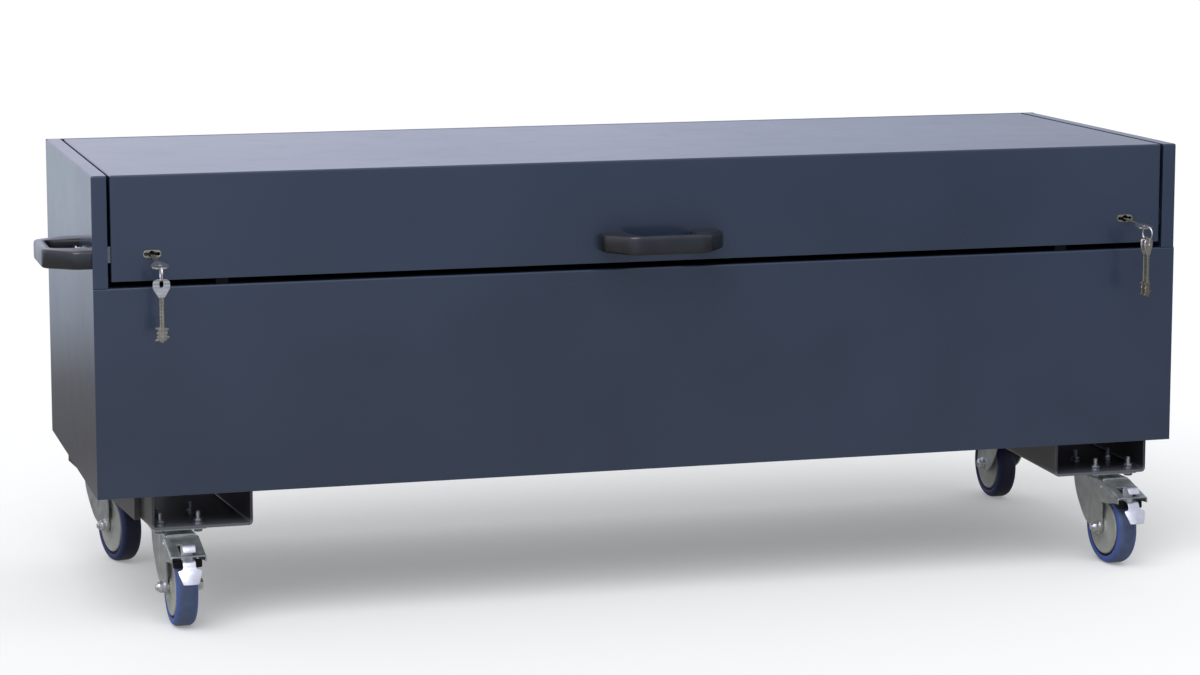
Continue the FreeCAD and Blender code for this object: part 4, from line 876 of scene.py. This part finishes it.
def build_fixings():
    """Castor bolts: head under the plate, washer, nut and threaded end above the channel's web."""
    shapes = []
    for name in CASTORS:
        kingpin = Vector(JOINTS[name + "_swivel_turn"]["pos_m"]) * 1000
        for x in (-BOLT_X, BOLT_X):
            for y in (-BOLT_Y, BOLT_Y):
                parts = [hexagon_rings(HEAD_LOW, HEAD_HIGH, BOLT_WIDTH, False, 0.2 * x + 0.1 * y),
                         rod_rings(SHANK, COARSE, False),
                         rod_rings(WASHER, FINE, False),
                         hexagon_rings(NUT_LOW, NUT_HIGH, BOLT_WIDTH, False, 0.13 * x - 0.2 * y),
                         thread_rings(THREAD_LOW, THREAD_HIGH, BOLT_RADIUS, False)]
                for rings in parts:
                    shapes.append(lofted([[Vector((kingpin.x + x + a, kingpin.y + y + b, c)) / 1000
                                           for a, b, c in ring] for ring in rings]))
    piece = mesh_piece("castor_bolt_set", *join_shapes(shapes), "zinc_steel", "root", ("castor_fixings",),
                       DULL_STEEL)
    smooth_by_angle(piece, 30)


def build_castors():
    for name in CASTORS:
        place = castor_place(name)
        front = name.startswith("front")
        build_fork(name, place)
        build_axle(name, place)
        # The rear tyres take a darker rubber as painted shade
        build_wheel(name, place, None if front else REAR_SHADE_RUBBER)
        if front:
            build_cover(name, place)
            build_pedal(name, place)
            build_shoe(name, place)
            build_rivets(name, place)
    build_fixings()


# Keys, drawn in millimetres in the XZ plane, tip down, with the bow's end at the origin

KEY_LENGTH = 97.0
KEY_IN_LOCK = 33.0
KEY_EDGE = 0.00035
BOW_HALF_SHEET = 1.1
BOW_HALF = 13.5
BOW_SIDE_END = -14.0
BOW_FOOT_HALF = 4.4
BOW_FOOT = -28.5
BOW_ARCS = (0, 7.5, 9.0, 2.0, 2.0, 9.0, 7.5, 0)
BOW_STEPS = 48
EYE_CENTRE_Z = -7.4
EYE_RADIUS = 3.0
EYE_HALF_STRAIGHT = 2.8
BIT_HALF_SHEET = 0.95
BIT_TOP = -74.0

# The stem's half section as (x, y), its rows as (z, size), and the double bit's outline as (x, z)
STEM_HALF = [(-3.7, 0.0), (-3.6, 0.75), (-3.0, 1.15), (-1.3, 1.2), (-0.8, 0.7), (0.8, 0.7), (1.3, 1.2),
             (3.0, 1.15), (3.6, 0.75), (3.7, 0.0)]
STEM_ROWS = ((-26.5, 1.0), (-40, 0.98), (-60, 0.98), (-74, 1.0), (-93, 0.98), (-95.6, 0.9), (-97, 0.6))
BIT_SWELL = 1.08
BIT = [(3.0, -74.2), (9.8, -75.0), (10.2, -76.8), (7.2, -79.2), (8.4, -80.8), (8.2, -84.0), (6.0, -85.4),
       (8.4, -86.8), (11.0, -87.4), (11.0, -90.2), (7.6, -90.8), (6.4, -94.0), (-10.8, -94.2),
       (-11.0, -92.0), (-8.0, -91.0), (-8.8, -87.2), (-6.6, -85.6), (-8.6, -83.6), (-8.2, -80.6),
       (-5.4, -79.0), (-5.8, -76.8), (-10.2, -76.2), (-10.2, -73.6), (-3.0, -73.2)]

# Split rings: two turns of wire side by side. Shares of the wire's radius and, for the crossing and the
# thickening, rates per share of its whole length
RING_RADIUS = 11.1
WIRE_RADIUS = 0.62
WIRE_STEPS = 150
WIRE_POINTS = 12
WIRE_START = math.radians(50)
WIRE_TURN = 4 * math.pi * 0.99
TURN_SHIFT = 1.04
TURN_CROSSING = 9
WIRE_END = 0.45
WIRE_THICKENING = 30

# Spare keys: how far the bow's end stands above the wire, their yaw, and the right ones' places
BOW_RISE = 2.3
SPARE_YAW = {"left": math.radians(5), "right": math.radians(21)}
SPARE_SPREAD = 4.3
SPARE_SHIFT = 1.3
SPARES = {"left": ["left_spare"], "right": ["right_spare_1", "right_spare_2"]}
UP = Vector((0, 0, 1))


def bow_outline():
    """Outer and eye outlines of a bow, paired point by point."""
    corners = [(0.0, 0.0), (BOW_HALF, 0.0), (BOW_HALF, BOW_SIDE_END), (BOW_FOOT_HALF, BOW_FOOT),
               (-BOW_FOOT_HALF, BOW_FOOT), (-BOW_HALF, BOW_SIDE_END), (-BOW_HALF, 0.0), (0.0, 0.0)]
    outer = even(soft_path(corners, BOW_ARCS), BOW_STEPS + 1)[:-1]
    inner = []
    for point in outer:
        away = math.atan2(point.y - EYE_CENTRE_Z, point.x)
        straight = math.copysign(EYE_HALF_STRAIGHT, math.sin(away))
        inner.append(Vector((EYE_RADIUS * math.cos(away),
                             EYE_CENTRE_Z + EYE_RADIUS * math.sin(away) + straight)))
    return outer, inner


def key_shape():
    """Points, faces and tones of one key: plated bow, grooved stem and double bit."""
    outer, inner = bow_outline()
    loops = [(outer, -BOW_HALF_SHEET), (outer, BOW_HALF_SHEET), (inner, BOW_HALF_SHEET),
             (inner, -BOW_HALF_SHEET)]
    bow = [(point.x, y, point.y) for loop, y in loops for point in loop]
    section = STEM_HALF + [(x, -y) for x, y in STEM_HALF[-2:0:-1]]
    rows = []
    for z, size in STEM_ROWS:
        swell = 1.0 if z > BIT_TOP else BIT_SWELL
        rows.append([(x * size, y * swell, z) for x, y in section])
    bit = lofted([[(x, y, z) for x, z in BIT] for y in (-BIT_HALF_SHEET, BIT_HALF_SHEET)])
    verts, faces = join_shapes([(bow, ring_faces(len(loops), BOW_STEPS)), lofted(rows), bit])
    return verts, faces, [1.0] * len(bow) + [0.0] * (len(verts) - len(bow))


def key_piece(name, node, body, origin, wide, thick, up):
    """A key with its bow's end at origin, in millimetres, and its X, Y and Z along three directions."""
    verts, faces, tones = key_shape()
    placed = [(origin + wide * x + thick * y + up * z) / 1000 for x, y, z in verts]
    piece = mesh_piece(name, placed, faces, "key_metal", body, (node,))
    store(piece, "tone", tones)
    store(piece, "along", [-z / 1000 for _, _, z in verts])
    smooth_by_angle(piece, 35)
    finish_piece(piece, edge=KEY_EDGE)


def ring_piece(name, node, body, centre, turn):
    """A split ring whose turns lie side by side."""
    across = Vector((math.cos(turn), math.sin(turn), 0))
    along = Vector((-math.sin(turn), math.cos(turn), 0))
    rings = []
    for step in range(WIRE_STEPS + 1):
        share = step / WIRE_STEPS
        angle = WIRE_START + WIRE_TURN * share
        outward = along * math.cos(angle) + UP * math.sin(angle)
        shift = WIRE_RADIUS * TURN_SHIFT * max(-1.0, min(1.0, (share - 0.5) * TURN_CROSSING))
        size = WIRE_RADIUS * min(1.0, WIRE_END + min(share, 1 - share) * WIRE_THICKENING)
        core = centre + outward * RING_RADIUS + across * shift
        rings.append([(core + (outward * math.cos(a) + across * math.sin(a)) * size) / 1000
                      for a in (2 * math.pi * n / WIRE_POINTS for n in range(WIRE_POINTS))])
    verts, faces = lofted(rings)
    piece = mesh_piece(name, verts, faces, "key_metal", body, (node,))
    store(piece, "tone", [1.0] * len(verts))


def build_keys():
    """Keys in the locks, with the rings and spare keys that hang from them."""
    for side in ("left", "right"):
        lock = JOINTS[side + "_key_turn"]
        out = Vector(lock["axis"]).normalized()
        level = Vector((-out.y, out.x, 0)).normalized()
        end = Vector(lock["pos_m"]) * 1000 + out * (KEY_LENGTH - KEY_IN_LOCK)
        key_piece(side + "_lock_key_blank", side + "_key", side + "_lock_key", end, level,
                  out.cross(level), out)
        centre = middle(side + "_key_ring") * 1000
        swing = Vector(JOINTS[side + "_ring_swing"]["axis"])
        turn = math.atan2(swing.y, swing.x) - math.pi / 2
        ring_piece(side + "_split_ring", side + "_key_ring", side + "_ring", centre, turn)
        tangent = Vector((-math.sin(turn), math.cos(turn), 0))
        yaw = turn + SPARE_YAW[side]
        wide = Vector((math.cos(yaw), math.sin(yaw), 0))
        thick = Vector((-math.sin(yaw), math.cos(yaw), 0))
        for body in SPARES[side]:
            node = body.replace("_spare", "_spare_key")
            offset = (middle(node) * 1000 - centre).dot(tangent)
            if side == "right":
                offset = math.copysign(SPARE_SPREAD, offset) + SPARE_SHIFT
            drop = math.sqrt(RING_RADIUS ** 2 - offset ** 2)
            hang = centre + tangent * offset + UP * (BOW_RISE + WIRE_RADIUS - drop)
            key_piece(body + "_blank", node, body, hang, wide, thick, UP)


# Run

dress_nodes()
build_stage()
build_surroundings()
build_lights()
build_camera()
build_handles()
build_castors()
build_keys()

bpy.context.scene.view_settings.view_transform = "Standard"
